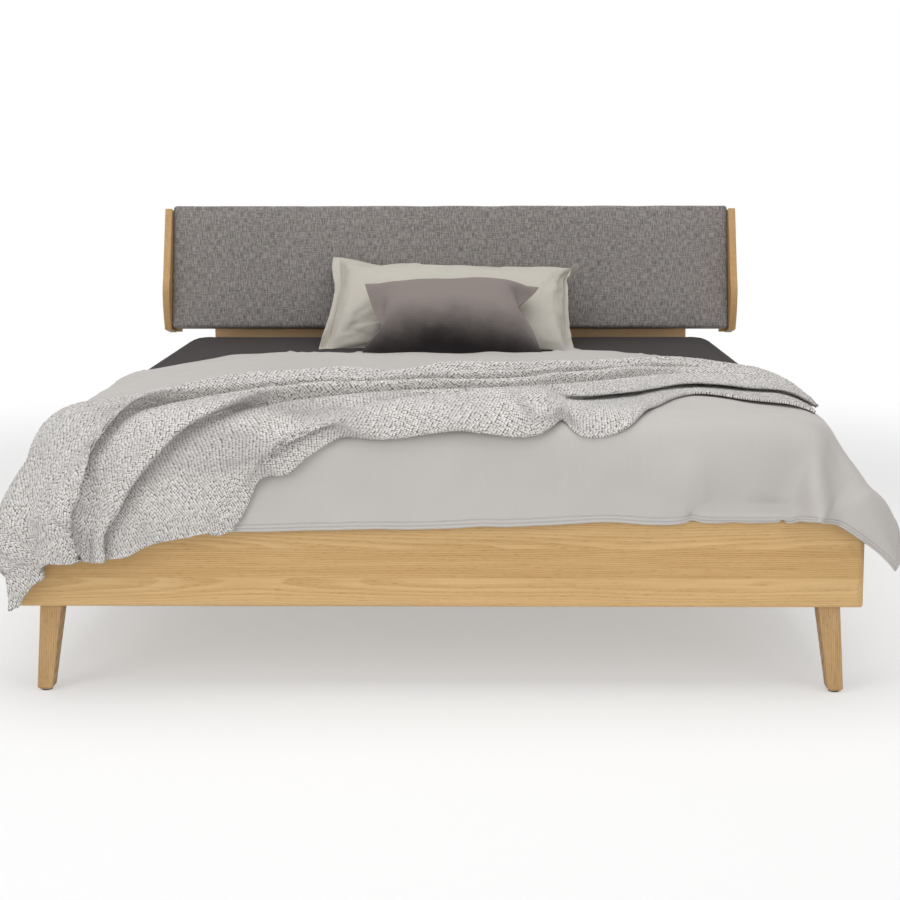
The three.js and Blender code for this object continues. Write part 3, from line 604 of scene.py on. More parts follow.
# Oak on the boards that face the lamps, and the softwood of the hidden base. The support board under the pad has its
# own lighter oak, which is painted light.
OAK_LIGHT = paint(215, 182, 130)
OAK_DARK = paint(175, 135, 82)
PINE_LIGHT = paint(236, 214, 168)
PINE_DARK = paint(205, 170, 112)


# ---------- studio


@dataclass
class Softbox:
    """One large lamp that points at a spot."""

    name: str
    place: Triple
    aim: Triple
    width: float
    height: float
    power: float

    def build(self) -> None:
        """Hangs the lamp."""
        lamp = bpy.data.lights.new(self.name, "AREA")
        lamp.shape = "RECTANGLE"
        lamp.size, lamp.size_y = self.width, self.height
        lamp.energy = self.power
        holder = place_object(self.name, lamp)
        holder.location = self.place
        aim = Vector(self.aim) - Vector(self.place)
        holder.rotation_euler = aim.to_track_quat("-Z", "Y").to_euler()


@dataclass
class Studio:
    """A white floor under soft lamps, and the camera at the foot of the bed."""

    camera_place: Triple = (0.072, -4.688, 1.210)
    camera_down: float = 0.1219
    camera_left: float = 0.0126
    camera_roll: float = -0.0015
    lens: float = 66.12
    lift: float = -0.1
    surround: float = 0.48
    floor_reach: float = 40.0
    shadow_reach: float = 1.9
    fade_reach: float = 4.2
    floor_glow: float = 0.4
    lamps: tuple[Softbox, ...] = (
        Softbox("softbox_top", (0.0, -0.6, 3.4), (0.0, -0.1, 0.0), 4.2, 3.6, 70.0),
        Softbox("softbox_left", (-3.6, -4.2, 2.4), (-0.2, -0.6, 0.4), 2.6, 2.2, 58.0),
        Softbox("softbox_right", (3.4, -4.4, 2.0), (0.2, -0.4, 0.4), 2.4, 2.0, 28.0),
        Softbox("softbox_front", (0.0, -6.2, 1.0), (0.0, 0.6, 0.6), 3.4, 1.0, 48.0),
    )

    def build(self) -> None:
        """Sets the floor, the surround, the lamps and the camera."""
        bpy.context.scene.view_settings.view_transform = "Standard"
        self.floor()
        self.world()
        for lamp in self.lamps:
            lamp.build()
        self.camera()
        LOG.info("studio set")

    def floor(self) -> None:
        """Lays a white floor that keeps the bed's shadow and fades to plain white around it."""
        bpy.ops.mesh.primitive_plane_add(size=2 * self.floor_reach)
        floor = bpy.context.object
        floor.name = "studio_floor"
        material, wiring, shader = start_material("studio_floor")
        wiring.fill(shader, Base_Color=(0.93, 0.93, 0.93, 1), Roughness=0.9, Specular_IOR_Level=0.0)
        away = wiring.length(wiring.object_place())
        fade = wiring.spread(away, self.shadow_reach, self.fade_reach, self.floor_glow, 1.0)
        seen = wiring.times(fade, self.seen_directly(wiring))
        glow = wiring.add("ShaderNodeEmission")
        mixer = wiring.add("ShaderNodeMixShader", seen, shader.outputs[0], glow.outputs[0])
        wiring.fill(material.node_tree.nodes["Material Output"], Surface=mixer.outputs[0])
        floor.data.materials.append(material)

    @staticmethod
    def seen_directly(wiring: Wiring) -> Socket:
        """Finds rays of the camera, of reflections and of glass, which see the plain white studio.

        Args:
            wiring: The wiring of the floor or of the surround.

        Returns:
            1 for those rays and 0 for all others.
        """
        rays = wiring.add("ShaderNodeLightPath").outputs
        reflected = wiring.maths("MAXIMUM", rays["Is Glossy Ray"], rays["Is Transmission Ray"])
        return wiring.maths("MAXIMUM", rays["Is Camera Ray"], reflected)

    def world(self) -> None:
        """Surrounds the bed with soft light, behind a white backdrop."""
        world = bpy.data.worlds.new("studio")
        world.use_nodes = True
        bpy.context.scene.world = world
        wiring = Wiring(world.node_tree)
        bright = wiring.scaled(self.seen_directly(wiring), 1.0 - self.surround, self.surround)
        wiring.fill(world.node_tree.nodes["Background"], Color=(1, 1, 1, 1), Strength=bright)

    def camera(self) -> None:
        """Puts the camera on its stand at the foot of the bed."""
        lens = bpy.data.cameras.new("camera")
        lens.lens = self.lens
        lens.sensor_width = 36.0
        lens.shift_y = self.lift
        camera = place_object("camera", lens)
        camera.location = self.camera_place
        level = Euler((math.pi / 2 - self.camera_down, 0.0, self.camera_left)).to_matrix()
        camera.rotation_euler = (level @ Matrix.Rotation(self.camera_roll, 3, "Z")).to_euler()
        bpy.context.scene.camera = camera


# ---------- joinery


@dataclass
class Joinery:
    """The oak boards, legs, cheeks and battens, the slatted base and the steel fittings."""

    board_start: float = 0.2
    stave: float = 0.0675
    stave_tone: float = 0.34
    steel: tuple[str, ...] = ("corner_bracket", "beam_hanger", "leg_bolt", "foot_spindle", "post_bush")
    plastic: tuple[str, ...] = ("leg_glide", "foot_glide")

    def finishes(self) -> dict[str | tuple[str, ...], WoodFinish | WovenFinish | SteelFinish | PlasticFinish]:
        """Picks every node's finish.

        Returns:
            The finishes, by how the names of their nodes start.
        """
        oak = OAK_LIGHT, OAK_DARK
        pine = PINE_LIGHT, PINE_DARK
        glued = self.stave, self.board_start
        rough = {"pores": 0.0, "roughness": 0.6}
        return {
            "footboard": WoodFinish("oak_footboard", *oak, Grain.SIDEWAYS, *glued, -0.25, ring_spacing=0.0034,
                                    ring_strength=0.26, sway=0.02, pores=0.6, seed=3.0),
            "head_rail": WoodFinish("oak_head_rail", *oak, Grain.SIDEWAYS, *glued, self.stave_tone, seed=9.0),
            "side_rail": WoodFinish("oak_side_rail", *oak, Grain.LENGTHWAYS, *glued, self.stave_tone, seed=14.0),
            "leg_front": WoodFinish("oak_leg_front", paint(200, 167, 119), paint(157, 121, 78), Grain.UPRIGHT,
                                    seed=5.0),
            "leg_rear": WoodFinish("oak_leg_rear", paint(205, 172, 124), paint(160, 124, 80), Grain.UPRIGHT,
                                   seed=8.0),
            "cheek": WoodFinish("oak_cheek", paint(202, 168, 119), paint(162, 123, 77), Grain.UPRIGHT, seed=6.0),
            # The support board sits in the shade under the pad, so its oak is a lighter copy: painted light that
            # lifts it out of that shade.
            "support_board": WoodFinish("oak_support_board_painted_light", paint(250, 218, 172), paint(216, 175, 124),
                                        Grain.SIDEWAYS, seed=11.0),
            "wedge_cleat": WoodFinish("oak_wedge_cleat", *oak, Grain.UPRIGHT, seed=12.0),
            "ledger": WoodFinish("pine_ledger", *pine, Grain.LENGTHWAYS, ring_spacing=0.0035, seed=21.0, **rough),
            "slat_strap": WovenFinish("strap_webbing", paint(226, 222, 208), paint(196, 190, 174), pitch=0.0022,
                                      relief=0.0006, space=WeaveSpace.OBJECT),
            "slat": WoodFinish("pine_slat", *pine, Grain.SIDEWAYS_FLAT, 0.155, -1.08, 0.2, ring_spacing=0.0045,
                               seed=23.0, **rough),
            "centre_beam": WoodFinish("pine_beam", *pine, Grain.LENGTHWAYS, ring_spacing=0.004, seed=27.0, **rough),
            "centre_post": WoodFinish("pine_post", *pine, Grain.UPRIGHT, ring_spacing=0.004, seed=29.0, **rough),
            "backboard": WoodFinish("plywood_face", paint(222, 197, 152), paint(190, 156, 108), Grain.SIDEWAYS,
                                    ring_spacing=0.011, ring_strength=0.3, pores=0.2, roughness=0.65, seed=31.0),
            self.steel: SteelFinish("zinc_plate", paint(172, 174, 178)),
            self.plastic: PlasticFinish("black_plastic", paint(34, 34, 36)),
        }

    def dress(self, nodes: dict[str, bpy.types.Object]) -> None:
        """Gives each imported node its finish.

        Args:
            nodes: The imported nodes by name.
        """
        made = {start: finish.material() for start, finish in self.finishes().items()}
        for name, node in nodes.items():
            material = next((made[start] for start in made if name.startswith(start)), None)
            if material:
                node.data.materials.clear()
                node.data.materials.append(material)
                LOG.info("%s finished as %s", name, material.name)


# ---------- cloth geometry


def smooth_step(value: Array, low: float, high: float) -> Array:
    """Rises smoothly from 0 at low to 1 at high."""
    share = np.clip((value - low) / (high - low), 0.0, 1.0)
    return share * share * (3.0 - 2.0 * share)


def bell(value: Array, reach: float) -> Array:
    """Falls smoothly from 1 at 0 to a third at its reach on both sides."""
    return np.exp(-((value / reach) ** 2))


def ripples(u: Array, v: Array, seed: int, wavelength: float, stretch: float = 1.0, count: int = 26) -> Array:
    """Random soft waves over a cloth.

    Args:
        u: Places across the cloth, in metres.
        v: Places along the cloth, in metres.
        seed: Picks the waves.
        wavelength: Their middle wavelength, in metres.
        stretch: How many times longer the waves are along v than across it.
        count: How many waves are added up.

    Returns:
        Heights that mostly stay between -1 and 1.
    """
    chance = np.random.default_rng(seed)
    total = np.zeros(np.broadcast(u, v).shape)
    for _ in range(count):
        heading = chance.uniform(0, 2 * math.pi)
        wave = 2 * math.pi / (wavelength * chance.uniform(0.65, 1.6))
        run = u * math.cos(heading) + v * math.sin(heading) / stretch
        total += np.cos(wave * run + chance.uniform(0, 6.3))
    return total / math.sqrt(2.0 * count)


def crease(u: Array, v: Array, start: Sequence[float], end: Sequence[float], width: float) -> Array:
    """A ridge from start to end, that fades towards its end.

    Args:
        u: Places across the cloth.
        v: Places along the cloth.
        start: Where the ridge starts, on the cloth.
        end: Where it fades out.
        width: Its half width at the start.

    Returns:
        Heights from 0 to 1.
    """
    run = np.array(end, float) - np.array(start, float)
    length = float(np.hypot(*run))
    heading = run / length
    ahead = ((u - start[0]) * heading[0] + (v - start[1]) * heading[1]) / length
    aside = (u - start[0]) * -heading[1] + (v - start[1]) * heading[0]
    spread = width * (0.6 + 0.8 * np.clip(ahead, 0, 1))
    body = smooth_step(ahead, -0.12, 0.08) * (1 - smooth_step(ahead, 0.35, 1.0))
    return body * np.exp(-((aside / spread) ** 2))


def resample(points: Array, old: Array, new: Array, axis: int) -> Array:
    """Reads a grid of points at new lines along one axis, on smooth curves through the old ones.

    Args:
        points: The grid, with one or more values at each place.
        old: The old lines' places, rising.
        new: The new lines' places.
        axis: The axis that the lines lie along.

    Returns:
        The grid at the new lines.
    """
    grid = np.moveaxis(points, axis, 0)
    slope = np.gradient(grid, old, axis=0)
    index = np.clip(np.searchsorted(old, new, side="right") - 1, 0, len(old) - 2)
    span = old[index + 1] - old[index]
    shape = (-1,) + (1,) * (grid.ndim - 1)
    t = ((new - old[index]) / span).reshape(shape)
    span = span.reshape(shape)
    low, high = grid[index], grid[index + 1]
    made = (
        (2 * t**3 - 3 * t**2 + 1) * low
        + (t**3 - 2 * t**2 + t) * span * slope[index]
        + (3 * t**2 - 2 * t**3) * high
        + (t**3 - t**2) * span * slope[index + 1]
    )
    return np.moveaxis(made, 0, axis)


def unit(vectors: Array, least: float = 1e-12) -> Array:
    """Makes vectors one long, whatever their length above a least one."""
    return vectors / np.maximum(np.linalg.norm(vectors, axis=-1, keepdims=True), least)


def grid_normals(points: Array) -> Array:
    """Unit normals of a grid whose first axis runs along V and whose second runs along U."""
    return unit(np.cross(np.gradient(points, axis=1), np.gradient(points, axis=0)))


def soften(points: Array, rounds: int, share: float = 0.5, rim: bool = False) -> Array:
    """Evens out a grid of points.

    Args:
        points: The grid.
        rounds: How often it is evened.
        share: How far each point moves towards the middle of its neighbours.
        rim: Whether the border is evened along itself too, or kept.

    Returns:
        The evened grid.
    """
    made = points.copy()
    for _ in range(rounds):
        for line in (made[0], made[-1], made[:, 0], made[:, -1]) if rim else ():
            line[1:-1] += share * ((line[:-2] + line[2:]) / 2 - line[1:-1])
        middle = (made[:-2, 1:-1] + made[2:, 1:-1] + made[1:-1, :-2] + made[1:-1, 2:]) / 4
        made[1:-1, 1:-1] += share * (middle - made[1:-1, 1:-1])
    return made


def inward(u: Array, v: Array, width: float, length: float) -> Array:
    """How far a place on a flat cloth is from the nearest side of the cloth."""
    return np.minimum(np.minimum(u, width - u), np.minimum(v, length - v))


def grid_faces(rows: int, columns: int, start: int = 0, flipped: bool = False) -> Array:
    """The four-sided faces of a grid of vertices.

    Args:
        rows: Vertices along V.
        columns: Vertices along U.
        start: The first vertex's number.
        flipped: Whether the faces look the other way.

    Returns:
        One row of four vertex numbers for each face.
    """
    index = np.arange(rows * columns).reshape(rows, columns) + start
    faces = np.stack([index[:-1, :-1], index[:-1, 1:], index[1:, 1:], index[1:, :-1]], -1).reshape(-1, 4)
    return faces[:, ::-1] if flipped else faces


def border(rows: int, columns: int) -> Array:
    """The vertex numbers round a grid's border, once round."""
    index = np.arange(rows * columns).reshape(rows, columns)
    return np.concatenate([index[0, :-1], index[:-1, -1], index[-1, :0:-1], index[:0:-1, 0]])


def make_piece(name: str, points: Array, faces: list[list[int]], uv: Array | None = None) -> bpy.types.Object:
    """Makes a smooth mesh object at the origin.

    Args:
        name: The piece's name.
        points: Its vertices.
        faces: The vertex numbers of each face.
        uv: Where each vertex lies on the flat cloth, in metres.

    Returns:
        The new object.
    """
    mesh = bpy.data.meshes.new(name)
    mesh.from_pydata(points.reshape(-1, 3).tolist(), [], faces)
    if uv is not None:
        layer = mesh.uv_layers.new(name=CLOTH_UV)
        corners = np.zeros(len(mesh.loops), np.int32)
        mesh.loops.foreach_get("vertex_index", corners)
        layer.data.foreach_set("uv", uv.reshape(-1, 2)[corners].astype(np.float32).ravel())
    mesh.polygons.foreach_set("use_smooth", np.ones(len(mesh.polygons), bool))
    mesh.update()
    return place_object(name, mesh)


def closed_cloth(name: str, upper: Array, lower: Array, uv: Array) -> bpy.types.Object:
    """Joins two grids of the same size into one closed body.

    Args:
        name: The piece's name.
        upper: The outer grid, as rows, columns and three values.
        lower: The inner grid.
        uv: The places on the flat cloth, as rows, columns and two values.

    Returns:
        The new object.
    """
    rows, columns = upper.shape[:2]
    count = rows * columns
    rim = border(rows, columns)
    ahead = np.roll(rim, -1)
    wall = np.stack([rim, rim + count, ahead + count, ahead], -1)
    faces = np.concatenate([grid_faces(rows, columns), grid_faces(rows, columns, count, True), wall])
    points = np.concatenate([upper.reshape(-1, 3), lower.reshape(-1, 3)])
    return make_piece(name, points, faces.tolist(), np.concatenate([uv.reshape(-1, 2)] * 2))


def vertices_of(mesh: bpy.types.Mesh) -> Array:
    """Reads a mesh's vertices, one row of three values for each."""
    points = np.zeros(len(mesh.vertices) * 3)
    mesh.vertices.foreach_get("co", points)
    return points.reshape(-1, 3)


def set_vertices(piece: bpy.types.Object, points: Array) -> None:
    """Moves a piece's own vertices."""
    piece.data.vertices.foreach_set("co", points.astype(np.float32).ravel())
    piece.data.update()


def read_points(piece: bpy.types.Object) -> Array:
    """Reads the vertices of a piece as its modifiers leave them."""
    shown = piece.evaluated_get(bpy.context.evaluated_depsgraph_get())
    points = vertices_of(shown.to_mesh())
    shown.to_mesh_clear()
    return points


@dataclass(frozen=True)
class ClothSetting:
    """How a cloth behaves while it settles."""

    frames: int
    mass: float
    tension: float
    bending: float
    damping: float
    pressure: float = 0.0
    gravity: float = 1.0
    shrink: float = 0.0
    gap: float = 0.006
    quality: int = 6
    pressed: str = ""
    air: float = 4.0
    outer: float = 0.004
    inner: float = 0.06
    friction: float = 40.0

    def settle(self, cloth: bpy.types.Object, things: Sequence[bpy.types.Object] = ()) -> Array:
        """Lets a cloth settle on the things under it.

        Args:
            cloth: The cloth, as a mesh.
            things: What it may touch. They are left as they were.

        Returns:
            The settled vertices. The cloth keeps no modifier.
        """
        scene = bpy.context.scene
        scene.frame_start, scene.frame_end = 1, self.frames
        scene.frame_set(1)
        for thing in things:
            thing.modifiers.new("bumper", "COLLISION")
            thing.collision.thickness_outer = self.outer
            thing.collision.thickness_inner = self.inner
            thing.collision.cloth_friction = self.friction
        modifier = cloth.modifiers.new("settle", "CLOTH")
        modifier.point_cache.frame_start, modifier.point_cache.frame_end = 1, self.frames
        rule = modifier.settings
        rule.quality = self.quality
        rule.mass = self.mass
        rule.air_damping = self.air
        rule.tension_stiffness = rule.compression_stiffness = self.tension
        rule.shear_stiffness = 0.4 * self.tension
        rule.bending_stiffness = self.bending
        rule.tension_damping = rule.compression_damping = rule.shear_damping = self.damping
        rule.bending_damping = 0.5 * self.damping
        rule.effector_weights.gravity = self.gravity
        rule.shrink_min = self.shrink
        if self.pressure:
            rule.use_pressure = True
            rule.uniform_pressure_force = self.pressure
            rule.vertex_group_pressure = self.pressed
        modifier.collision_settings.use_collision = bool(things)
        modifier.collision_settings.distance_min = self.gap
        modifier.collision_settings.collision_quality = 3
        for frame in range(1, self.frames + 1):
            scene.frame_set(frame)
        points = read_points(cloth)
        cloth.modifiers.remove(modifier)
        for thing in things:
            thing.modifiers.remove(thing.modifiers["bumper"])
        scene.frame_set(1)
        return points


def remove(pieces: Iterable[bpy.types.Object]) -> None:
    """Deletes helper objects and their meshes."""
    for piece in list(pieces):
        mesh = piece.data
        bpy.data.objects.remove(piece)
        bpy.data.meshes.remove(mesh)


def select_only(piece: bpy.types.Object) -> None:
    """Selects one piece alone and makes it the active one."""
    bpy.ops.object.select_all(action="DESELECT")
    piece.select_set(True)
    bpy.context.view_layer.objects.active = piece


@contextmanager
def editing(piece: bpy.types.Object) -> Iterator[None]:
    """Opens one piece for editing, with all of it selected, and shades it smooth afterwards."""
    select_only(piece)
    bpy.ops.object.mode_set(mode="EDIT")
    bpy.ops.mesh.select_all(action="SELECT")
    yield
    bpy.ops.object.mode_set(mode="OBJECT")
    bpy.ops.object.shade_smooth()


def bevel_edges(piece: bpy.types.Object, name: str, width: float, segments: int, **limits: object) -> None:
    """Rounds the edges of the active piece.

    Args:
        piece: The active piece.
        name: What the rounding is called.
        width: The rounding's radius.
        segments: How many faces go round each edge.
        **limits: The modifier's options that pick the edges.
    """
    rounding = piece.modifiers.new(name, "BEVEL")
    rounding.width, rounding.segments = width, segments
    for option, value in limits.items():
        setattr(rounding, option, value)
    bpy.ops.object.modifier_apply(modifier=rounding.name)


def thicken(piece: bpy.types.Object, name: str, thickness: float) -> None:
    """Gives the active piece a wall behind its faces."""
    wall = piece.modifiers.new(name, "SOLIDIFY")
    wall.thickness, wall.offset = thickness, -1.0
    bpy.ops.object.modifier_apply(modifier=wall.name)


def rounded_block(
    name: str, low: Sequence[float], high: Sequence[float], corner: float, edge: float
) -> bpy.types.Object:
    """A block with rounded upright corners and eased rims.

    Args:
        name: The new object's name.
        low: Its lowest corner.
        high: Its highest corner.
        corner: The radius of its upright corners.
        edge: The radius of its top and bottom rims.

    Returns:
        The block, with its place in its mesh.
    """
    bpy.ops.object.select_all(action="DESELECT")
    middle = [(a + b) / 2 for a, b in zip(low, high)]
    bpy.ops.mesh.primitive_cube_add(size=1, location=middle)
    block = bpy.context.object
    block.name = name
    block.scale = [b - a for a, b in zip(low, high)]
    bpy.ops.object.transform_apply(location=True, scale=True)
    weight = block.data.attributes.new("bevel_weight_edge", "FLOAT", "EDGE")
    for side in block.data.edges:
        a, b = (block.data.vertices[i].co for i in side.vertices)
        weight.data[side.index].value = 1.0 if abs(a.z - b.z) > 1e-6 else 0.0
    bevel_edges(block, "corners", corner, 6, limit_method="WEIGHT")
    bevel_edges(block, "rims", edge, 5, limit_method="ANGLE", angle_limit=math.radians(50))
    return block


# ---------- duvet


@dataclass
class ClothMap:
    """A settled cloth that can be read at any place of its flat cut."""

    points: Array
    across: Array
    along: Array

    def at(self, s: Array, t: Array) -> tuple[Array, Array]:
        """Reads the surface and its normals, and goes straight down past its hems.

        Args:
            s: Places across the flat cloth, in metres.
            t: Places along the flat cloth, in metres.

        Returns:
            The points and the unit normals there.
        """
        inner_s = np.clip(s, self.across[0], self.across[-1])
        inner_t = np.clip(t, self.along[0], self.along[-1])
        step_s = self.across[1] - self.across[0]
        step_t = self.along[1] - self.along[0]
        i = np.clip(((inner_s - self.across[0]) / step_s).astype(int), 0, len(self.across) - 2)
        j = np.clip(((inner_t - self.along[0]) / step_t).astype(int), 0, len(self.along) - 2)
        a = ((inner_s - self.across[i]) / step_s)[..., None]
        b = ((inner_t - self.along[j]) / step_t)[..., None]

        def blend(grid: Array) -> Array:
            """Mixes the four nearest places."""
            low = grid[j, i] * (1 - a) + grid[j, i + 1] * a
            return low * (1 - b) + (grid[j + 1, i] * (1 - a) + grid[j + 1, i + 1] * a) * b

        point, normal = blend(self.points), blend(grid_normals(self.points))
        past = np.hypot(s - inner_s, t - inner_t)
        point[..., 2] -= past
        hanging = smooth_step(past, 0.0, 0.05)[..., None]
        flat = normal * np.array([1.0, 1.0, 0.0])
        return point, unit(normal * (1 - hanging) + flat * hanging, 1e-9)


@dataclass
class Duvet:
    """A light duvet in a plain sateen cover, spread over the foot of the bed."""

    width: float = 2.31
    length: float = 1.605
    head: float = 0.425
    shift: float = -0.02
    turn: float = 0.02
    spacing: float = 0.02
    fine_spacing: float = 0.0125
    loft: float = 0.015
    drawn_left: float = 0.46
    drawn_right: float = 0.36
    drawn_over: tuple[float, float] = (0.4, 0.95)
    bed_half: float = 0.86
    bed_end: float = -1.0
    droop: float = 0.35
    sunk: float = 0.006
    sunk_over: tuple[float, float] = (0.60, 0.84)
    thinned: float = 0.45
    corner_rise: float = 0.05
    corner_over: tuple[float, float] = (0.14, 0.27)
    corner_flare: float = 0.038
    flare_across: float = 0.24
    flare_along: float = 0.17
    hem_sag: float = 0.015
    sag_from: tuple[float, float] = (0.35, 0.55)
    sag_to: tuple[float, float] = (0.88, 1.0)
    sag_reach: float = 0.2
    hem_lap: float = 0.012
    board_gap: float = 0.007
    left_side: float = -0.971
    right_side: float = 1.037
    left_front: float = -1.085
    weighed: float = 0.15
    weighed_front: float = 0.5
    hem_width: float = 0.016
    hem_fine: float = 0.034
    hem_thickness: float = 0.0035
    stitch_lines: tuple[float, ...] = (0.007, 0.015)
    stitch_depth: float = 0.0011
    loft_reach: float = 0.13
    start_height: float = 0.66
    hem_creases: int = 34
    hem_crease_start: float = 0.012
    folds: tuple[float, float] = (0.0038, 0.0014)
    pucker: float = 0.0022
    crease_rise: float = 0.16
    crease_width: float = 0.022
    long_creases: tuple[tuple[float, float, float, float], ...] = (
        (0.92, 0.34, 0.2, 0.004), (1.42, 0.42, -0.12, 0.004), (1.86, 0.30, 0.16, 0.005),
        (1.16, 0.62, 0.25, 0.004), (1.70, 0.56, -0.3, 0.004), (2.12, 0.16, -0.2, 0.006),
    )

    def flat_lines(self, size: float) -> Array:
        """The lines of the grid that settles."""
        return np.linspace(0, size, int(round(size / self.spacing)) + 1)

    def fine_lines(self, size: float) -> Array:
        """The lines of the finished grid, close together at the hems that show stitching."""
        rim = np.array([0.0, 0.003, 0.0055, 0.007, 0.0085, 0.011, 0.0135, 0.015, 0.0165, 0.020, 0.026])
        inner = np.linspace(self.hem_fine, size - self.hem_fine, int((size - 2 * self.hem_fine) / self.fine_spacing))
        return np.concatenate([rim, inner, size - rim[::-1]])

    def cut(self, across: Array, along: Array) -> Array:
        """Holds the flat duvet over the bed, askew and drawn to its foot at both sides.

        Args:
            across: The grid's lines across the cloth, from its middle.
            along: The grid's lines along the cloth, from its head edge.

        Returns:
            The grid's points before they settle.
        """
        u, v = np.meshgrid(across, along)
        drawn = np.where(u < 0, self.drawn_left, self.drawn_right) * smooth_step(np.abs(u), *self.drawn_over) ** 1.6
        v = v - drawn * (1 + v / self.length)
        x = u * math.cos(self.turn) - v * math.sin(self.turn) + self.shift
        y = u * math.sin(self.turn) + v * math.cos(self.turn) + self.head
        past = np.maximum(np.abs(x) - self.bed_half, 0) + np.maximum(self.bed_end - y, 0)
        z = self.start_height - self.droop * past + 0.003 * ripples(u, v, 5, 0.4)
        return np.stack([x, y, z], -1)

    def settle(self, things: Sequence[bpy.types.Object]) -> ClothMap:
        """Drops the flat duvet over the mattress and the frame.

        Args:
            things: What it lands on.

        Returns:
            Its underside once it lies still.
        """
        across, along = self.flat_lines(self.width), self.flat_lines(self.length)
        points = self.cut(across - self.width / 2, along - self.length)
        cloth = make_piece("duvet_cut", points, grid_faces(len(along), len(across)).tolist())
        rule = ClothSetting(frames=46, mass=0.5, tension=30.0, bending=14.0, damping=18.0, gap=0.008)
        settled = soften(rule.settle(cloth, things).reshape(points.shape), 3)
        remove([cloth])
        return ClothMap(self.arranged(settled, across, along, points[..., 0] < 0), across, along)

    def arranged(self, settled: Array, across: Array, along: Array, left: Array) -> Array:
        """Lays the settled duvet straight: close to the mattress, its hem down, its corner out.

        Args:
            settled: The settled grid.
            across: The grid's lines across the cloth.
            along: The grid's lines along the cloth.
            left: Which places were cut left of the bed's middle.

        Returns:
            The same grid, arranged.
        """
        u, v = across - self.width / 2, along[:, None]
        from_side = self.width / 2 - u
        over_edge = smooth_step(np.abs(settled[..., :1]), *self.sunk_over)
        settled -= self.sunk * over_edge * grid_normals(settled)
        settled[..., 2] += self.corner_rise * (1 - smooth_step(np.hypot(from_side, v), *self.corner_over))
        near_corner = np.hypot(from_side / self.flare_across, v / self.flare_along)
        settled[..., 0] += self.corner_flare * (1 - smooth_step(near_corner, 0.0, 1.0))
        sag = smooth_step(u, *self.sag_from) * (1 - smooth_step(u, *self.sag_to))
        sag = sag * (1 - smooth_step(v, 0.0, self.sag_reach))
        settled[..., 2] -= self.hem_sag * sag
        board_low, board_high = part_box("footboard")
        over_front = (sag > 0.05) & (settled[..., 2] < board_high.z + self.hem_lap)
        before = np.minimum(settled[..., 1], board_low.y - self.board_gap)
        settled[..., 1] = np.where(over_front, before, settled[..., 1])
        for side in (self.left_side, self.right_side):
            bulge = settled[..., 0] - side
            settled[..., 0] = side + np.where(bulge * side > 0, self.weighed * bulge, bulge)
        swell = settled[..., 1] - self.left_front
        settled[..., 1] = self.left_front + np.where((swell < 0) & left, self.weighed_front * swell, swell)
        return settled

    def wrinkles(self, u: Array, v: Array) -> Array:
        """Raises soft folds of the whole cover, and short creases that run up from the foot hem.

        Args:
            u: Places across the flat cover.
            v: Places along the flat cover.

        Returns:
            Heights in metres.
        """
        height = self.folds[0] * ripples(u, v, 11, 0.34) + self.folds[1] * ripples(u, v, 12, 0.11, 2.2)
        chance = np.random.default_rng(21)
        for _ in range(self.hem_creases):
            place = chance.uniform(0.2, self.width - 0.2)
            lean = chance.uniform(-1.0, 1.0)
            length = chance.uniform(0.05, 0.17)
            start = (place, self.hem_crease_start)
            end = (place + lean * length, self.hem_crease_start + length)
            height += chance.uniform(0.0022, 0.0060) * crease(u, v, start, end, chance.uniform(0.006, 0.012))
        pucker = ripples(u, np.zeros_like(u), 31, 0.05)
        height += self.pucker * pucker * bell(v - 0.02, 0.03) * (v > 0.004)
        for place, rise, lean, size in self.long_creases:
            end = (place + lean, rise + self.crease_rise)
            height += size * crease(u, v, (place, rise), end, self.crease_width)
        return height

    def loft_at(self, u: Array, v: Array) -> Array:
        """Tells how thick the duvet is: thin at its stitched hems, full inside.

        Args:
            u: Places across the flat cover.
            v: Places along the flat cover.

        Returns:
            The thickness in metres.
        """
        depth = inward(u, v, self.width, self.length)
        body = smooth_step(depth, self.hem_width * 0.8, self.loft_reach) ** 0.7
        bent = bell(np.abs(u - self.width / 2) - 0.90, 0.12)
        thickness = self.hem_thickness + (self.loft - self.hem_thickness) * body * (1 - self.thinned * bent)
        for line in self.stitch_lines:
            thickness -= self.stitch_depth * bell(depth - line, 0.0012)
        return thickness

    def build(self, things: Sequence[bpy.types.Object]) -> ClothMap:
        """Settles the duvet, gives it its loft and sews its hems.

        Args:
            things: What it lands on.

        Returns:
            Its upper surface.
        """
        under = self.settle(things)
        across, along = self.fine_lines(self.width), self.fine_lines(self.length)
        lower = resample(resample(under.points, under.across, across, 1), under.along, along, 0)
        u, v = np.meshgrid(across, along)
        full = smooth_step(self.loft_at(u, v), self.hem_thickness, self.loft)
        rise = self.loft_at(u, v) + self.wrinkles(u, v) * (0.25 + 0.75 * full)
        upper = lower + grid_normals(lower) * rise[..., None]
        piece = closed_cloth("duvet_cover", upper, lower, np.stack([u, v], -1))
        finish = SateenFinish("duvet_sateen", paint(188, 184, 180), paint(175, 171, 167), self.width, self.length,
                              self.stitch_lines)
        piece.data.materials.append(finish.material())
        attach(piece, BED)
        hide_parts("duvet")
        LOG.info("duvet settled and sewn")
        coarse_u, coarse_v = np.meshgrid(under.across, under.along)
        top = under.points + grid_normals(under.points) * self.loft_at(coarse_u, coarse_v)[..., None]
        return ClothMap(top, under.across, under.along)


# How the sateen's stripes and its weft are stretched, across and along the cloth.
STRIPE_SCALE = (210.0, 1.6, 1.0)
WEFT_SCALE = (9.0, 900.0, 1.0)


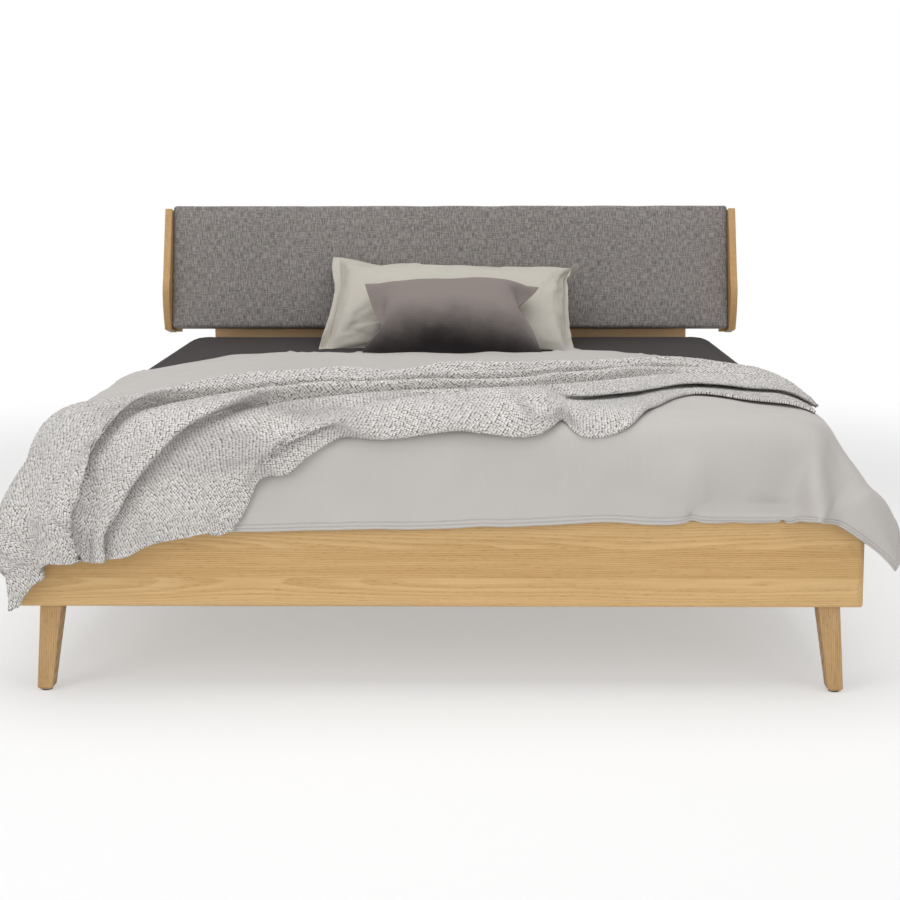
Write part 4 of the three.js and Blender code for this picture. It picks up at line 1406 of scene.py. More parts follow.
@dataclass(frozen=True)
class SateenFinish:
    """Smooth cotton sateen: faint woven stripes, and a row of stitches at each stitch line."""

    name: str
    light: Colour
    dark: Colour
    width: float
    length: float
    stitch_lines: tuple[float, ...] = ()
    thread: Colour = paint(150, 146, 142)
    stitch: float = 0.0034
    relief: float = 0.00025

    def material(self) -> bpy.types.Material:
        """Builds the finish on the cloth's own map.

        Returns:
            The new material.
        """
        material, wiring, shader = start_material(self.name)
        cloth = wiring.cloth_place()
        stripe = wiring.noise(wiring.place(cloth, scale=STRIPE_SCALE), 1.0, 2.0, 0.6)
        weft = wiring.noise(wiring.place(cloth, scale=WEFT_SCALE), 1.0, 2.0)
        cloud = wiring.noise(cloth, 3.1, 4.0, 0.55)
        share = wiring.swing(stripe, 0.35, 0.5)
        share = wiring.swing(cloud, 0.7, share, clamp=True)
        colour = wiring.mix(share, self.dark, self.light)
        height = wiring.scaled(stripe, 0.6, wiring.times(weft, 0.4))
        if self.stitch_lines:
            dash, thread = self.stitches(wiring, cloth)
            shade = wiring.times(thread, wiring.scaled(dash, -0.35, 0.55))
            colour = wiring.mix(shade, colour, self.thread)
            height = wiring.minus(height, wiring.times(thread, 2.0))
        wiring.fill(
            shader,
            Base_Color=colour,
            Roughness=wiring.scaled(stripe, 0.14, 0.55),
            Normal=wiring.bump(height, self.relief),
            Sheen_Weight=0.12,
            Sheen_Roughness=0.4,
            Specular_IOR_Level=0.25,
        )
        return material

    def stitches(self, wiring: Wiring, cloth: Socket) -> tuple[Socket, Socket]:
        """Wires the rows of stitches along the hems.

        Args:
            wiring: The material's wiring.
            cloth: The place on the flat cloth.

        Returns:
            The dashes along a row, and the rows themselves.
        """
        u, v, _ = wiring.split(cloth)
        sides = (
            wiring.maths("MINIMUM", place, wiring.minus(size, place))
            for place, size in ((u, self.width), (v, self.length))
        )
        depth = wiring.maths("MINIMUM", *sides)
        run = wiring.maths("FRACT", wiring.over(wiring.plus(u, v), self.stitch))
        dash = wiring.spread(wiring.maths("ABSOLUTE", wiring.minus(run, 0.5)), 0.28, 0.42, 1.0, 0.0)
        offs = (wiring.maths("ABSOLUTE", wiring.minus(depth, line)) for line in self.stitch_lines)
        first, second = (wiring.spread(off, 0.0003, 0.0016, 1.0, 0.0) for off in offs)
        return dash, wiring.maths("MAXIMUM", first, second)


# ---------- stuffed bags


@dataclass
class StuffedBag:
    """Two cloth panels sewn together and blown up until they crown and pucker."""

    name: str
    width: float
    height: float
    spacing: float
    flange: float
    rule: ClothSetting
    belly: float = 0.0
    parted: float = 0.002

    def lines(self, size: float, flange: float) -> Array:
        """Spaces lines evenly over a panel, with a line on each seam.

        Args:
            size: The panel's width or height.
            flange: How far the seams are from its edges.

        Returns:
            The lines' places, rising.
        """
        inner = np.linspace(flange, size - flange, int(round((size - 2 * flange) / self.spacing)) + 1)
        edge = np.linspace(0, flange, 4)[:-1] if flange else np.zeros(0)
        return np.concatenate([edge, inner, size - edge[::-1]])

    def panels(self) -> tuple[Array, Array, Array, Array]:
        """Blows the bag up, flat on its back at the origin.

        Returns:
            The upper and lower grids, and the places across and along the flat panel.
        """
        across, along = self.lines(self.width, self.flange), self.lines(self.height, 0.0)
        u, v = np.meshgrid(across, along)
        rows, columns = u.shape
        bowed = 1 + self.belly * (1 - (2 * u / self.width - 1) ** 2)
        flat = np.stack([u - self.width / 2, (v - self.height / 2) * bowed, np.zeros_like(u)], -1)
        inside = np.zeros((rows, columns), bool)
        first = int(np.searchsorted(across, self.flange - 1e-9))
        inside[1:-1, first + 1 : columns - first - 1] = True
        index = np.arange(rows * columns).reshape(rows, columns)
        below = index.copy()
        below[inside] = rows * columns + np.arange(inside.sum())
        lift = self.parted * inside[..., None] * np.array([0.0, 0.0, 1.0])
        start = np.concatenate([(flat + lift).reshape(-1, 3), (flat - lift)[inside]])
        under = below[:, first : columns - first]
        lower_faces = np.stack([under[:-1, :-1], under[1:, :-1], under[1:, 1:], under[:-1, 1:]], -1).reshape(-1, 4)
        faces = np.concatenate([grid_faces(rows, columns), lower_faces])
        bag = make_piece(f"{self.name}_cut", start, faces.tolist())
        pressed = bag.vertex_groups.new(name=self.rule.pressed)
        pressed.add(index[inside].tolist() + below[inside].tolist(), 1.0, "REPLACE")
        blown = self.rule.settle(bag)
        remove([bag])
        return blown[index], blown[below], across, along


@dataclass(frozen=True)
class Posture:
    """Where a loose piece lies: its middle, its tilt, its turn on the bed and its spin in its own plane."""

    middle: Triple
    tilt: float
    turn: float = 0.0
    spin: float = 0.0

    def place(self, points: Array) -> Array:
        """Tilts, turns and moves a piece's points.

        Args:
            points: The points, as they lie flat at the origin.

        Returns:
            The points where the piece lies.
        """
        moves = ((self.turn, "Z"), (self.tilt, "X"), (self.spin, "Z"))
        turn, tilt, spin = (Matrix.Rotation(math.radians(angle), 3, axis) for angle, axis in moves)
        return points @ np.array(turn @ tilt @ spin).T + np.array(self.middle)


def rest_on(points: Array, level: float, soft: float) -> Array:
    """Flattens what would sink below a level, with a soft shoulder above it.

    Args:
        points: The points.
        level: The level that they rest on.
        soft: How high the shoulder is.

    Returns:
        The points at rest.
    """
    made = points.copy()
    above = made[..., 2] - level
    made[..., 2] = level + 0.5 * (above + np.sqrt(above**2 + soft**2)) - 0.5 * soft * np.exp(-np.abs(above) / soft)
    return made


@dataclass
class Pillow:
    """A feather pillow in a sateen case whose ends are stitched flat."""

    width: float = 0.935
    height: float = 0.47
    flange: float = 0.030
    spacing: float = 0.0115
    belly: float = 0.10
    hem_thickness: float = 0.0022
    rumple: float = 0.0008
    low_loft: float = 1.12
    lost_loft: float = 0.42
    curl: float = 0.010
    gap: float = 0.001
    shoulder: float = 0.012
    posture: Posture = Posture((0.009, 0.748, 0.713), 40.2, turn=-1.5, spin=-2.8)
    rule: ClothSetting = ClothSetting(frames=30, mass=0.25, tension=22.0, bending=0.35, damping=6.0, pressure=3.4,
                                      gravity=0.0, shrink=0.012, pressed="pressed", quality=7)

    def build(self, level: float, wall: Callable[[Array], Array]) -> None:
        """Blows the pillow up, leans it on the headboard and settles it on the mattress.

        Args:
            level: The height of the mattress's top.
            wall: Gives the headboard's front face at the heights it is given.
        """
        bag = StuffedBag("pillow", self.width, self.height, self.spacing, self.flange, self.rule, self.belly)
        upper, lower, across, along = bag.panels()
        u, v = np.meshgrid(across, along)
        upper, lower = self.slump(upper, u, v), self.slump(lower, u, v)
        normals = grid_normals(upper)
        seam = np.linalg.norm(upper - lower, axis=-1) < 1e-6
        lower = lower - normals * np.where(seam, self.hem_thickness, 0.0)[..., None]
        upper = upper + normals * (self.rumple * ripples(u, v, 41, 0.09, 0.6))[..., None]
        placed = [self.settle(self.posture.place(grid), level, wall) for grid in (upper, lower)]
        piece = closed_cloth("pillow_case", *placed, np.stack([u, v], -1))
        smooth = piece.modifiers.new("smooth", "SUBSURF")
        smooth.levels = smooth.render_levels = 1
        finish = SateenFinish("pillow_sateen", paint(190, 185, 175), paint(178, 173, 163), self.width, self.height)
        piece.data.materials.append(finish.material())
        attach(piece, BED)
        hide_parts("pillow")
        LOG.info("pillow propped")

    def slump(self, points: Array, u: Array, v: Array) -> Array:
        """Lets the filling sink to the lower edge and the flanges curl.

        Args:
            points: The panel's points.
            u: Their places across the flat panel.
            v: Their places along it.

        Returns:
            The slumped points.
        """
        made = points.copy()
        share = v / self.height
        made[..., 2] *= self.low_loft - self.lost_loft * share
        loose = smooth_step(np.abs(u - self.width / 2), self.width / 2 - self.flange, self.width / 2)
        made[..., 2] += self.curl * loose * np.sin(6.0 * share + 2.0 * (u > self.width / 2))
        return made

    def settle(self, points: Array, level: float, wall: Callable[[Array], Array]) -> Array:
        """Keeps the pillow above the mattress and in front of the headboard.

        Args:
            points: The panel's points.
            level: The height of the mattress's top.
            wall: Gives the headboard's front face at the heights it is given.

        Returns:
            The points at rest.
        """
        made = rest_on(points, level + self.gap, self.shoulder)
        room = wall(made[..., 2]) - self.gap - made[..., 1]
        pressed = 0.5 * (np.sqrt(room**2 + self.shoulder**2) - room) * (room > -1)
        made[..., 1] -= np.where(room < self.shoulder, pressed, 0.0)
        return made


# How far apart the cushion's rows of dots are, as a share of the pitch of the dots in a row.
ROW_SHARE = 0.87


@dataclass
class Cushion:
    """A small velvet cushion with a welded pattern of dimples."""

    width: float = 0.585
    height: float = 0.455
    spacing: float = 0.0118
    belly: float = 0.14
    pitch: float = 0.0122
    depth: float = 0.0006
    dot_reach: float = 0.30
    flatness: float = 0.8
    seam_reach: float = 0.05
    welt: float = 0.0012
    welt_reach: float = 0.006
    plain_reach: float = 0.016
    finer: int = 4
    gap: float = 0.001
    shoulder: float = 0.008
    posture: Posture = Posture((0.010, 0.436, 0.716), 24.5, turn=1.0, spin=-0.8)
    rule: ClothSetting = ClothSetting(frames=34, mass=0.3, tension=18.0, bending=2.5, damping=6.0, pressure=4.0,
                                      gravity=0.0, pressed="pressed", quality=7)

    def build(self, level: float) -> None:
        """Blows the cushion up, presses the dimples and lays it against the pillow.

        Args:
            level: The height of the duvet under its lower edge.
        """
        bag = StuffedBag("cushion", self.width, self.height, self.spacing, 0.0, self.rule, self.belly)
        upper, lower, across, along = bag.panels()
        fine_across = np.linspace(0, self.width, self.finer * (len(across) - 1) + 1)
        fine_along = np.linspace(0, self.height, self.finer * (len(along) - 1) + 1)
        u, v = np.meshgrid(fine_across, fine_along)
        relief = (self.dimples(u, v) * self.depth)[..., None]
        grids = []
        for grid, side in ((upper, 1.0), (lower, -1.0)):
            panel = self.straightened(soften(grid, 12, rim=True), along)
            fine = resample(resample(panel, across, fine_across, 1), along, fine_along, 0)
            grids.append(fine - side * grid_normals(fine) * relief)
        pinch = bell(inward(u, v, self.width, self.height), self.welt_reach)[..., None]
        middle = (grids[0] + grids[1]) / 2
        seam = self.welt * pinch * grid_normals(middle)
        grids = [grid * (1 - pinch) + middle * pinch + side * seam for grid, side in zip(grids, (1.0, -1.0))]
        placed = [rest_on(self.posture.place(grid), level + self.gap, self.shoulder) for grid in grids]
        piece = closed_cloth("velvet_cushion", *placed, np.stack([u, v], -1))
        # The velvet's own colour, the deep colour of its painted shade and its pressed dots, and the pile's sheen
        # tint.
        finish = VelvetFinish("cushion_velvet", paint(141, 132, 128), paint(27, 23, 24), paint(206, 196, 192),
                              self.pitch, self.width, self.height)
        piece.data.materials.append(finish.material())
        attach(piece, BED)
        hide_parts("cushion")
        LOG.info("cushion laid")

    def straightened(self, grid: Array, along: Array) -> Array:
        """Presses a panel flatter and draws its lower seam out to a straight line.

        Args:
            grid: The panel's points.
            along: The places of its rows along the flat panel.

        Returns:
            The straightened points.
        """
        made = grid * (1.0, 1.0, self.flatness)
        seam = made[0].copy()
        near = np.exp(-along / self.seam_reach)[:, None]
        made[..., 1] += ((seam[0, 1] + seam[-1, 1]) / 2 - seam[:, 1]) * near
        made[..., 2] -= seam[:, 2] * near
        return made

    def dimples(self, u: Array, v: Array) -> Array:
        """Presses dots in staggered rows, none of them on the seams.

        Args:
            u: Places across the flat panel.
            v: Places along it.

        Returns:
            How deep each place is pressed, 1 at the middle of a dot.
        """
        row = np.round(v / (ROW_SHARE * self.pitch))
        shift = 0.5 * self.pitch * (row % 2)
        du = u + shift - self.pitch * np.round((u + shift) / self.pitch)
        dv = v - ROW_SHARE * self.pitch * row
        dot = np.exp(-(du**2 + dv**2) / (self.dot_reach * self.pitch) ** 2)
        return dot * smooth_step(inward(u, v, self.width, self.height), self.welt_reach, self.plain_reach)


@dataclass(frozen=True)
class VelvetFinish:
    """Short-pile velvet, dark where its dots are pressed, with painted shade that darkens it towards its lower seam
    (lower still in its middle) and a painted sheen on faces that look down.
    """

    name: str
    colour: Colour
    deep: Colour
    pile: Colour
    pitch: float
    width: float
    height: float
    # Where the painted shade gives way to the velvet's own colour along the cushion, and how far down a face must
    # look to get the painted sheen.
    painted_shade_ramp: tuple[float, float] = (0.03, 0.52)
    underside: tuple[float, float] = (-0.75, -0.45)
    relief: float = 0.0003

    def material(self) -> bpy.types.Material:
        """Builds the finish on the cloth's own map.

        Returns:
            The new material.
        """
        material, wiring, shader = start_material(self.name)
        cloth = wiring.cloth_place()
        u, v, _ = wiring.split(cloth)
        dot = self.dots(wiring, u, v)
        # Painted shade: the colour runs from the deep colour at the lower seam to the velvet's own colour higher up,
        # with a faint noise wobble; faces that look down get a painted sheen.
        shade_wobble = wiring.noise(cloth, 9.0, 3.0, 0.6)
        middle = wiring.maths("POWER", wiring.scaled(u, 2.0 / self.width, -1.0), 2.0)
        raised = wiring.scaled(v, 1.0 / self.height, wiring.times(middle, 0.10))
        raised = wiring.swing(shade_wobble, 0.16, raised)
        underside_painted_sheen = wiring.spread(wiring.facing_up(), *self.underside, 0.30, 0.0)
        painted_light_share = wiring.maths("MAXIMUM", wiring.spread(raised, *self.painted_shade_ramp), underside_painted_sheen)
        pressed = wiring.mix(wiring.times(dot, 0.16), wiring.mix(painted_light_share, self.deep, self.colour), self.deep)
        fibre = wiring.noise(cloth, 900.0, 2.0)
        wiring.fill(
            shader,
            Base_Color=wiring.mix(wiring.times(fibre, 0.25), pressed, self.deep),
            Roughness=wiring.scaled(dot, -0.2, 0.85),
            Normal=wiring.bump(fibre, self.relief),
            Sheen_Weight=0.25,
            Sheen_Roughness=0.35,
            Sheen_Tint=self.pile,
            Specular_IOR_Level=0.1,
        )
        return material

    def dots(self, wiring: Wiring, u: Socket, v: Socket) -> Socket:
        """Wires the pressed dots in their staggered rows.

        Args:
            wiring: The material's wiring.
            u: The place across the flat cloth.
            v: The place along it.

        Returns:
            A value that is 1 at the middle of each dot.
        """
        row = wiring.maths("ROUND", wiring.over(v, ROW_SHARE * self.pitch))
        odd = wiring.times(wiring.maths("MODULO", row, 2.0), 0.5 * self.pitch)
        shifted = wiring.over(wiring.plus(u, odd), self.pitch)
        across = wiring.times(wiring.minus(shifted, wiring.maths("ROUND", shifted)), self.pitch)
        along = wiring.scaled(row, -ROW_SHARE * self.pitch, v)
        away = wiring.length(wiring.join(across, along, 0.0))
        return wiring.spread(away, 0.1 * self.pitch, 0.42 * self.pitch, 1.0, 0.0)


# ---------- knitted throw


# How the wool's plies are turned and stretched, and how its beads lie.
PLY_TURN = (0.0, 0.0, 0.7)
PLY_SCALE = (260.0, 900.0, 1.0)
BEAD_TURN = (0.0, 0.0, math.pi / 4)


@dataclass(frozen=True)
class KnitFinish:
    """Moss stitch in thick wool: a bead for each stitch, with painted shade in the gaps between them."""

    name: str
    light: Colour
    mid: Colour
    # The colour of the painted shade between the beads.
    gap: Colour
    bead_width: float
    bead_height: float
    uneven: float = 0.38
    relief: float = 0.0022

    def material(self) -> bpy.types.Material:
        """Builds the finish on the cloth's own map.

        Returns:
            The new material.
        """
        material, wiring, shader = start_material(self.name)
        cloth = wiring.cloth_place()
        stitches = wiring.place(cloth, scale=(1 / self.bead_width, 1 / self.bead_height, 1.0))
        stitches = wiring.place(stitches, turn=BEAD_TURN)
        beads = wiring.add("ShaderNodeTexVoronoi", voronoi_dimensions="2D")
        wiring.fill(beads, Vector=stitches, Scale=1.0, Randomness=self.uneven)
        # Painted shade: the colour darkens to the gap colour between the beads; the same mask also gives the relief.
        body = wiring.spread(beads.outputs["Distance"], 0.22, 0.72, 1.0, 0.0)
        own, _, _ = wiring.split(beads.outputs["Color"])
        ply = wiring.noise(wiring.place(cloth, turn=PLY_TURN, scale=PLY_SCALE), 1.0, 2.0, 0.6)
        share = wiring.maths("MULTIPLY_ADD", ply, 0.6, wiring.scaled(own, 0.7, -0.15), clamp=True)
        yarn = wiring.mix(share, self.mid, self.light)
        wiring.fill(
            shader,
            Base_Color=wiring.mix(wiring.spread(body, 0.0, 0.7), self.gap, yarn),
            Roughness=wiring.scaled(ply, 0.08, 0.88),
            Normal=wiring.bump(wiring.scaled(ply, 0.12, body), self.relief, 0.9),
            Sheen_Weight=0.3,
            Sheen_Roughness=0.6,
            Specular_IOR_Level=0.12,
        )
        return material


Section = tuple[tuple[int, int, int], ...]

# Sections across the throw from its right end to its left end. Each place is (centimetres across the
# duvet from its left hem, centimetres up from its foot hem, millimetres above it); each section runs
# from the throw's back edge to its front edge. Past a hem of the duvet the throw hangs straight down.
THROW_SECTIONS: tuple[Section, ...] = (
    ((206, 113, 3), (207, 108, 10), (208, 104, 3), (209, 100, 10), (209, 95, 3), (209, 91, 10), (209, 87, 4),
     (209, 83, 10), (209, 80, 5), (209, 75, 9), (208, 70, 5), (208, 62, 6), (207, 70, 0), (207, 58, 0), (206, 47, 0)),
    ((196, 120, 4), (197, 115, 20), (197, 112, 6), (197, 105, 22), (197, 102, 8), (197, 96, 24), (197, 93, 10),
     (197, 88, 26), (197, 85, 12), (198, 80, 20), (198, 76, 12), (199, 69, 9), (197, 78, 0), (199, 66, 0),
     (199, 54, 0)),
    ((180, 111, 10), (180, 108, 26), (180, 105, 4), (180, 100, 24), (180, 99, 6), (180, 91, 28), (180, 91, 8),
     (181, 84, 26), (181, 83, 10), (182, 77, 22), (182, 73, 14), (182, 69, 9), (180, 82, 0), (182, 71, 0),
     (182, 61, 0)),
    ((157, 103, 4), (157, 98, 24), (157, 95, 4), (157, 88, 24), (157, 88, 5), (158, 78, 30), (158, 79, 5),
     (158, 66, 30), (159, 67, 6), (160, 56, 24), (161, 52, 15), (162, 47, 9), (160, 56, 0), (161, 37, 0),
     (162, 22, 0)),
    ((148, 97, 16), (148, 93, 28), (148, 90, 4), (148, 83, 26), (148, 84, 4), (148, 71, 32), (148, 72, 4),
     (148, 58, 30), (149, 59, 4), (149, 49, 26), (150, 45, 14), (151, 40, 12), (150, 43, 4), (152, 31, 6),
     (152, 20, 0)),
    ((137, 92, 6), (137, 88, 26), (137, 85, 3), (137, 77, 26), (137, 78, 4), (138, 64, 32), (138, 65, 4),
     (139, 50, 30), (140, 51, 4), (140, 40, 28), (141, 36, 5), (142, 31, 30), (144, 25, 22), (145, 21, 6),
     (144, 26, 2)),
    ((119, 88, 22), (119, 84, 32), (119, 80, 3), (119, 73, 24), (119, 74, 4), (119, 60, 32), (119, 61, 4),
     (119, 47, 30), (120, 48, 4), (120, 37, 26), (121, 34, 4), (121, 28, 28), (122, 22, 20), (122, 20, 5),
     (122, 25, 2)),
    ((104, 80, 2), (104, 76, 22), (104, 72, 3), (103, 65, 24), (103, 66, 4), (103, 53, 32), (103, 54, 4),
     (103, 41, 30), (103, 42, 4), (103, 32, 24), (103, 28, 4), (103, 23, 24), (104, 19, 16), (105, 18, 5),
     (103, 21, 2)),
    ((90, 80, 22), (90, 76, 28), (90, 72, 3), (90, 64, 24), (89, 65, 4), (89, 51, 32), (89, 52, 4), (89, 37, 32),
     (89, 38, 3), (89, 28, 14), (89, 23, 9), (90, 18, 15), (88, 21, 2), (90, 18, 2), (91, 15, 1)),
    ((73, 74, 14), (72, 69, 26), (72, 64, 3), (71, 55, 22), (71, 56, 4), (71, 42, 30), (72, 43, 3), (74, 24, 28),
     (73, 26, 2), (77, 20, 11), (80, 17, 10), (83, 15, 15), (82, 17, 3), (84, 14, 2), (86, 11, 1)),
    ((50, 54, 8), (50, 50, 18), (49, 43, 3), (49, 37, 16), (48, 33, 4), (46, 23, 24), (44, 25, 2), (60, 17, 28),
     (58, 18, 2), (63, 15, 10), (70, 12, 10), (77, 11, 12), (77, 10, 5), (78, 10, 3), (79, 9, 0)),
    ((37, 48, 3), (37, 42, 10), (36, 35, 3), (37, 29, 10), (37, 22, 5), (39, 15, 24), (37, 16, 2), (53, 11, 28),
     (51, 11, 2), (56, 9, 10), (63, 6, 10), (71, 5, 10), (73, 5, 6), (75, 4, 4), (77, 4, 0)),
    ((16, 41, 3), (17, 32, 6), (19, 25, 3), (23, 19, 10), (28, 12, 5), (36, 6, 22), (34, 7, 2), (49, 3, 26),
     (47, 3, 2), (52, 2, 10), (60, 0, 10), (67, 0, 10), (70, 0, 6), (73, 0, 4), (75, 0, 0)),
    ((0, 24, 3), (3, 15, 5), (7, 7, 3), (14, 1, 6), (22, -3, 6), (33, -3, 20), (31, -3, 2), (46, -3, 22), (44, -3, 2),
     (50, -3, 10), (57, -3, 9), (65, -2, 9), (68, -2, 6), (71, -2, 4), (74, -1, 0)),
    ((12, -11, 3), (14, -8, 6), (17, -7, 4), (21, -8, 6), (29, -11, 5), (33, -10, 16), (31, -10, 2), (46, -9, 20),
     (44, -9, 2), (50, -8, 10), (57, -5, 9), (65, -4, 9), (68, -3, 6), (71, -3, 4), (74, -2, 0)),
)


@dataclass
class Throw:
    """A moss-stitch throw that lies in long folds and falls over the left front corner."""

    width: float = 1.05
    length: float = 2.30
    stitch: float = 0.0084
    row: float = 0.0062
    bead_width: float = 0.0062
    bead_height: float = 0.0054
    thickness: float = 0.0055
    relief: float = 0.0014
    askew: float = 0.05
    shift: float = 0.02
    fullness: float = 1.3
    crumple: float = 0.003
    clearance: float = 1.6
    board_reach: float = 0.07
    board_slack: float = 0.035
    board_lift: float = 0.6
    corner_reach: float = 0.015
    across_count: int = 170
    along_count: int = 300
    coarser: int = 4

    def folded(self) -> Array:
        """Reads the laid folds at a close grid.

        Returns:
            Places on the flat duvet with their lift, across the throw by along it.
        """
        grid = np.array(THROW_SECTIONS, float) * np.array([0.01, 0.01, 0.001 * self.fullness])
        across = np.linalg.norm(np.diff(grid, axis=1), axis=2).mean(axis=0)
        along = np.linalg.norm(np.diff(grid, axis=0), axis=2).mean(axis=1)
        shares = np.concatenate([[0.0], np.cumsum(across)]) / across.sum()
        runs = np.concatenate([[0.0], np.cumsum(along)]) / along.sum()
        made = resample(grid, runs, np.linspace(0, 1, self.along_count), 0)
        made = resample(made, shares, np.linspace(0, 1, self.across_count), 1).transpose(1, 0, 2)
        grid_along = np.linspace(0, self.length, self.along_count)
        u, v = np.meshgrid(grid_along, np.linspace(0, self.width, self.across_count))
        made[..., 2] += self.crumple * ripples(0.4 * u, v, 51, 0.12)
        made[..., 2] = np.maximum(made[..., 2], 0.0)
        return made

    def build(self, duvet: ClothMap) -> None:
        """Lays the throw over the duvet and knits its surface.

        Args:
            duvet: The duvet's upper surface.
        """
        surface = self.evened(self.lay(self.folded(), self.plumped(duvet)))
        columns = int(round(self.length / (self.stitch / 2))) + 1
        rows = int(round(self.width / self.row)) + 1
        fine = resample(surface, np.linspace(0, 1, self.along_count), np.linspace(0, 1, columns), 1)
        fine = resample(fine, np.linspace(0, 1, self.across_count), np.linspace(0, 1, rows), 0)
        u, v = np.meshgrid(np.linspace(0, self.length, columns), np.linspace(0, self.width, rows))
        normals = grid_normals(fine)
        bead = np.random.default_rng(57).uniform(-0.6, 1.0, u.shape)
        upper = fine + normals * (self.relief * bead)[..., None]
        piece = self.shell(upper, fine - self.thickness * normals, np.stack([u, v], -1))
        # The wool's light and mid tones, and the painted shade between its beads.
        finish = KnitFinish("throw_knit", paint(243, 240, 237), paint(198, 193, 189), paint(84, 78, 74),
                            self.bead_width, self.bead_height)
        piece.data.materials.append(finish.material())
        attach(piece, BED)
        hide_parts("throw")
        LOG.info("throw laid and knitted")

    @staticmethod
    def plumped(duvet: ClothMap) -> ClothMap:
        """Bridges the duvet's own small folds, as a thick throw does.

        Args:
            duvet: The duvet's upper surface.

        Returns:
            The surface that the throw lies on.
        """
        smooth = soften(duvet.points, 24)
        normals = grid_normals(smooth)
        proud = np.maximum(((duvet.points - smooth) * normals).sum(axis=-1), 0.0)
        for _ in range(2):
            for axis in (0, 1):
                for step in (-1, 1):
                    proud = np.maximum(proud, 0.9 * np.roll(proud, step, axis=axis))
        return ClothMap(smooth + normals * proud[..., None], duvet.across, duvet.along)

    def lay(self, places: Array, duvet: ClothMap) -> Array:
        """Puts the throw's flat places on the duvet, outside the frame's boards.

        Args:
            places: Places on the flat duvet with their lift.
            duvet: The surface that the throw lies on.

        Returns:
            The points of the throw's lower side.
        """
        head, middle = duvet.along[-1], duvet.across[-1] / 2
        s = places[..., 0] - self.askew * (head - places[..., 1]) + self.shift
        point, normal = duvet.at(s, places[..., 1] - self.askew * (places[..., 0] - middle))
        lift = places[..., 2]
        laid = point + normal * (lift + self.clearance * self.thickness)[..., None]
        low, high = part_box("footboard")
        above = smooth_step(laid[..., 2], high.z - 0.01, high.z + self.board_reach)
        gap = self.thickness + self.board_lift * lift - self.board_slack * above
        beside = laid[..., 2] < high.z + self.board_reach
        left = laid[..., 0] < low.x + self.corner_reach
        laid[..., 1] = np.where(beside & ~left, np.minimum(laid[..., 1], low.y - gap), laid[..., 1])
        laid[..., 0] = np.where(beside & left, np.minimum(laid[..., 0], low.x - gap), laid[..., 0])
        return laid

    def evened(self, surface: Array) -> Array:
        """Slides the grid's places along the cloth until its stitches are about as large everywhere.

        Args:
            surface: The grid's points, which it moves.

        Returns:
            The same grid.
        """
        for _ in range(3):
            for axis in (0, 1):
                lines = np.moveaxis(surface, axis, 0)
                steps = np.linalg.norm(np.diff(lines, axis=0), axis=2)
                run = np.concatenate([np.zeros((1, lines.shape[1])), np.cumsum(steps, axis=0)])
                even = np.linspace(0, 1, len(lines))
                for k in range(lines.shape[1]):
                    share = run[:, k] / run[-1, k]
                    for part in range(3):
                        lines[:, k, part] = np.interp(even, share, lines[:, k, part])
        return surface

    def shell(self, upper: Array, lower: Array, uv: Array) -> bpy.types.Object:
        """Closes the fine upper face with a coarser lower face, a few stitches to each of its faces.

        Args:
            upper: The upper grid.
            lower: The lower grid, as fine as the upper one.
            uv: The places on the flat cloth.

        Returns:
            The new piece.
        """
        rows, columns = upper.shape[:2]
        pick_r, pick_c = (np.append(np.arange(0, n - 1, self.coarser), n - 1) for n in (rows, columns))
        picked = np.ix_(pick_r, pick_c)
        count = rows * columns
        fine = np.arange(count).reshape(rows, columns)
        small = np.arange(len(pick_r) * len(pick_c)).reshape(len(pick_r), len(pick_c)) + count
        faces = grid_faces(rows, columns).tolist() + grid_faces(*small.shape, count, True).tolist()
        for strip, picks, base in (
            (fine[0], pick_c, small[0]),
            (fine[:, -1], pick_r, small[:, -1]),
            (fine[-1][::-1], columns - 1 - pick_c[::-1], small[-1][::-1]),
            (fine[::-1, 0], rows - 1 - pick_r[::-1], small[::-1, 0]),
        ):
            for k in range(len(picks) - 1):
                edge = strip[picks[k] : picks[k + 1] + 1]
                faces.append(base[k : k + 2].tolist() + edge[::-1].tolist())
        points = np.concatenate([upper.reshape(-1, 3), lower[picked].reshape(-1, 3)])
        places = np.concatenate([uv.reshape(-1, 2), uv[picked].reshape(-1, 2)])
        return make_piece("knitted_throw", points, faces, places)


# ---------- mattress, fitted sheet and headboard


def box_map(piece: bpy.types.Object) -> None:
    """Lays a cloth map on a piece in metres, from the side that each face looks to.

    Args:
        piece: The piece to map.
    """
    mesh = piece.data
    layer = mesh.uv_layers.get(CLOTH_UV) or mesh.uv_layers.new(name=CLOTH_UV)
    for face in mesh.polygons:
        facing = [abs(part) for part in face.normal]
        a, b = ((1, 2), (0, 2), (0, 1))[facing.index(max(facing))]
        for corner in face.loop_indices:
            place = mesh.vertices[mesh.loops[corner].vertex_index].co
            layer.data[corner].uv = (place[a], place[b])


def draw_in(points: Array, depth: Array) -> None:
    """Moves points level towards the upright line through the origin."""
    points[:, :2] -= unit(points[:, :2], 1e-9) * depth[:, None]


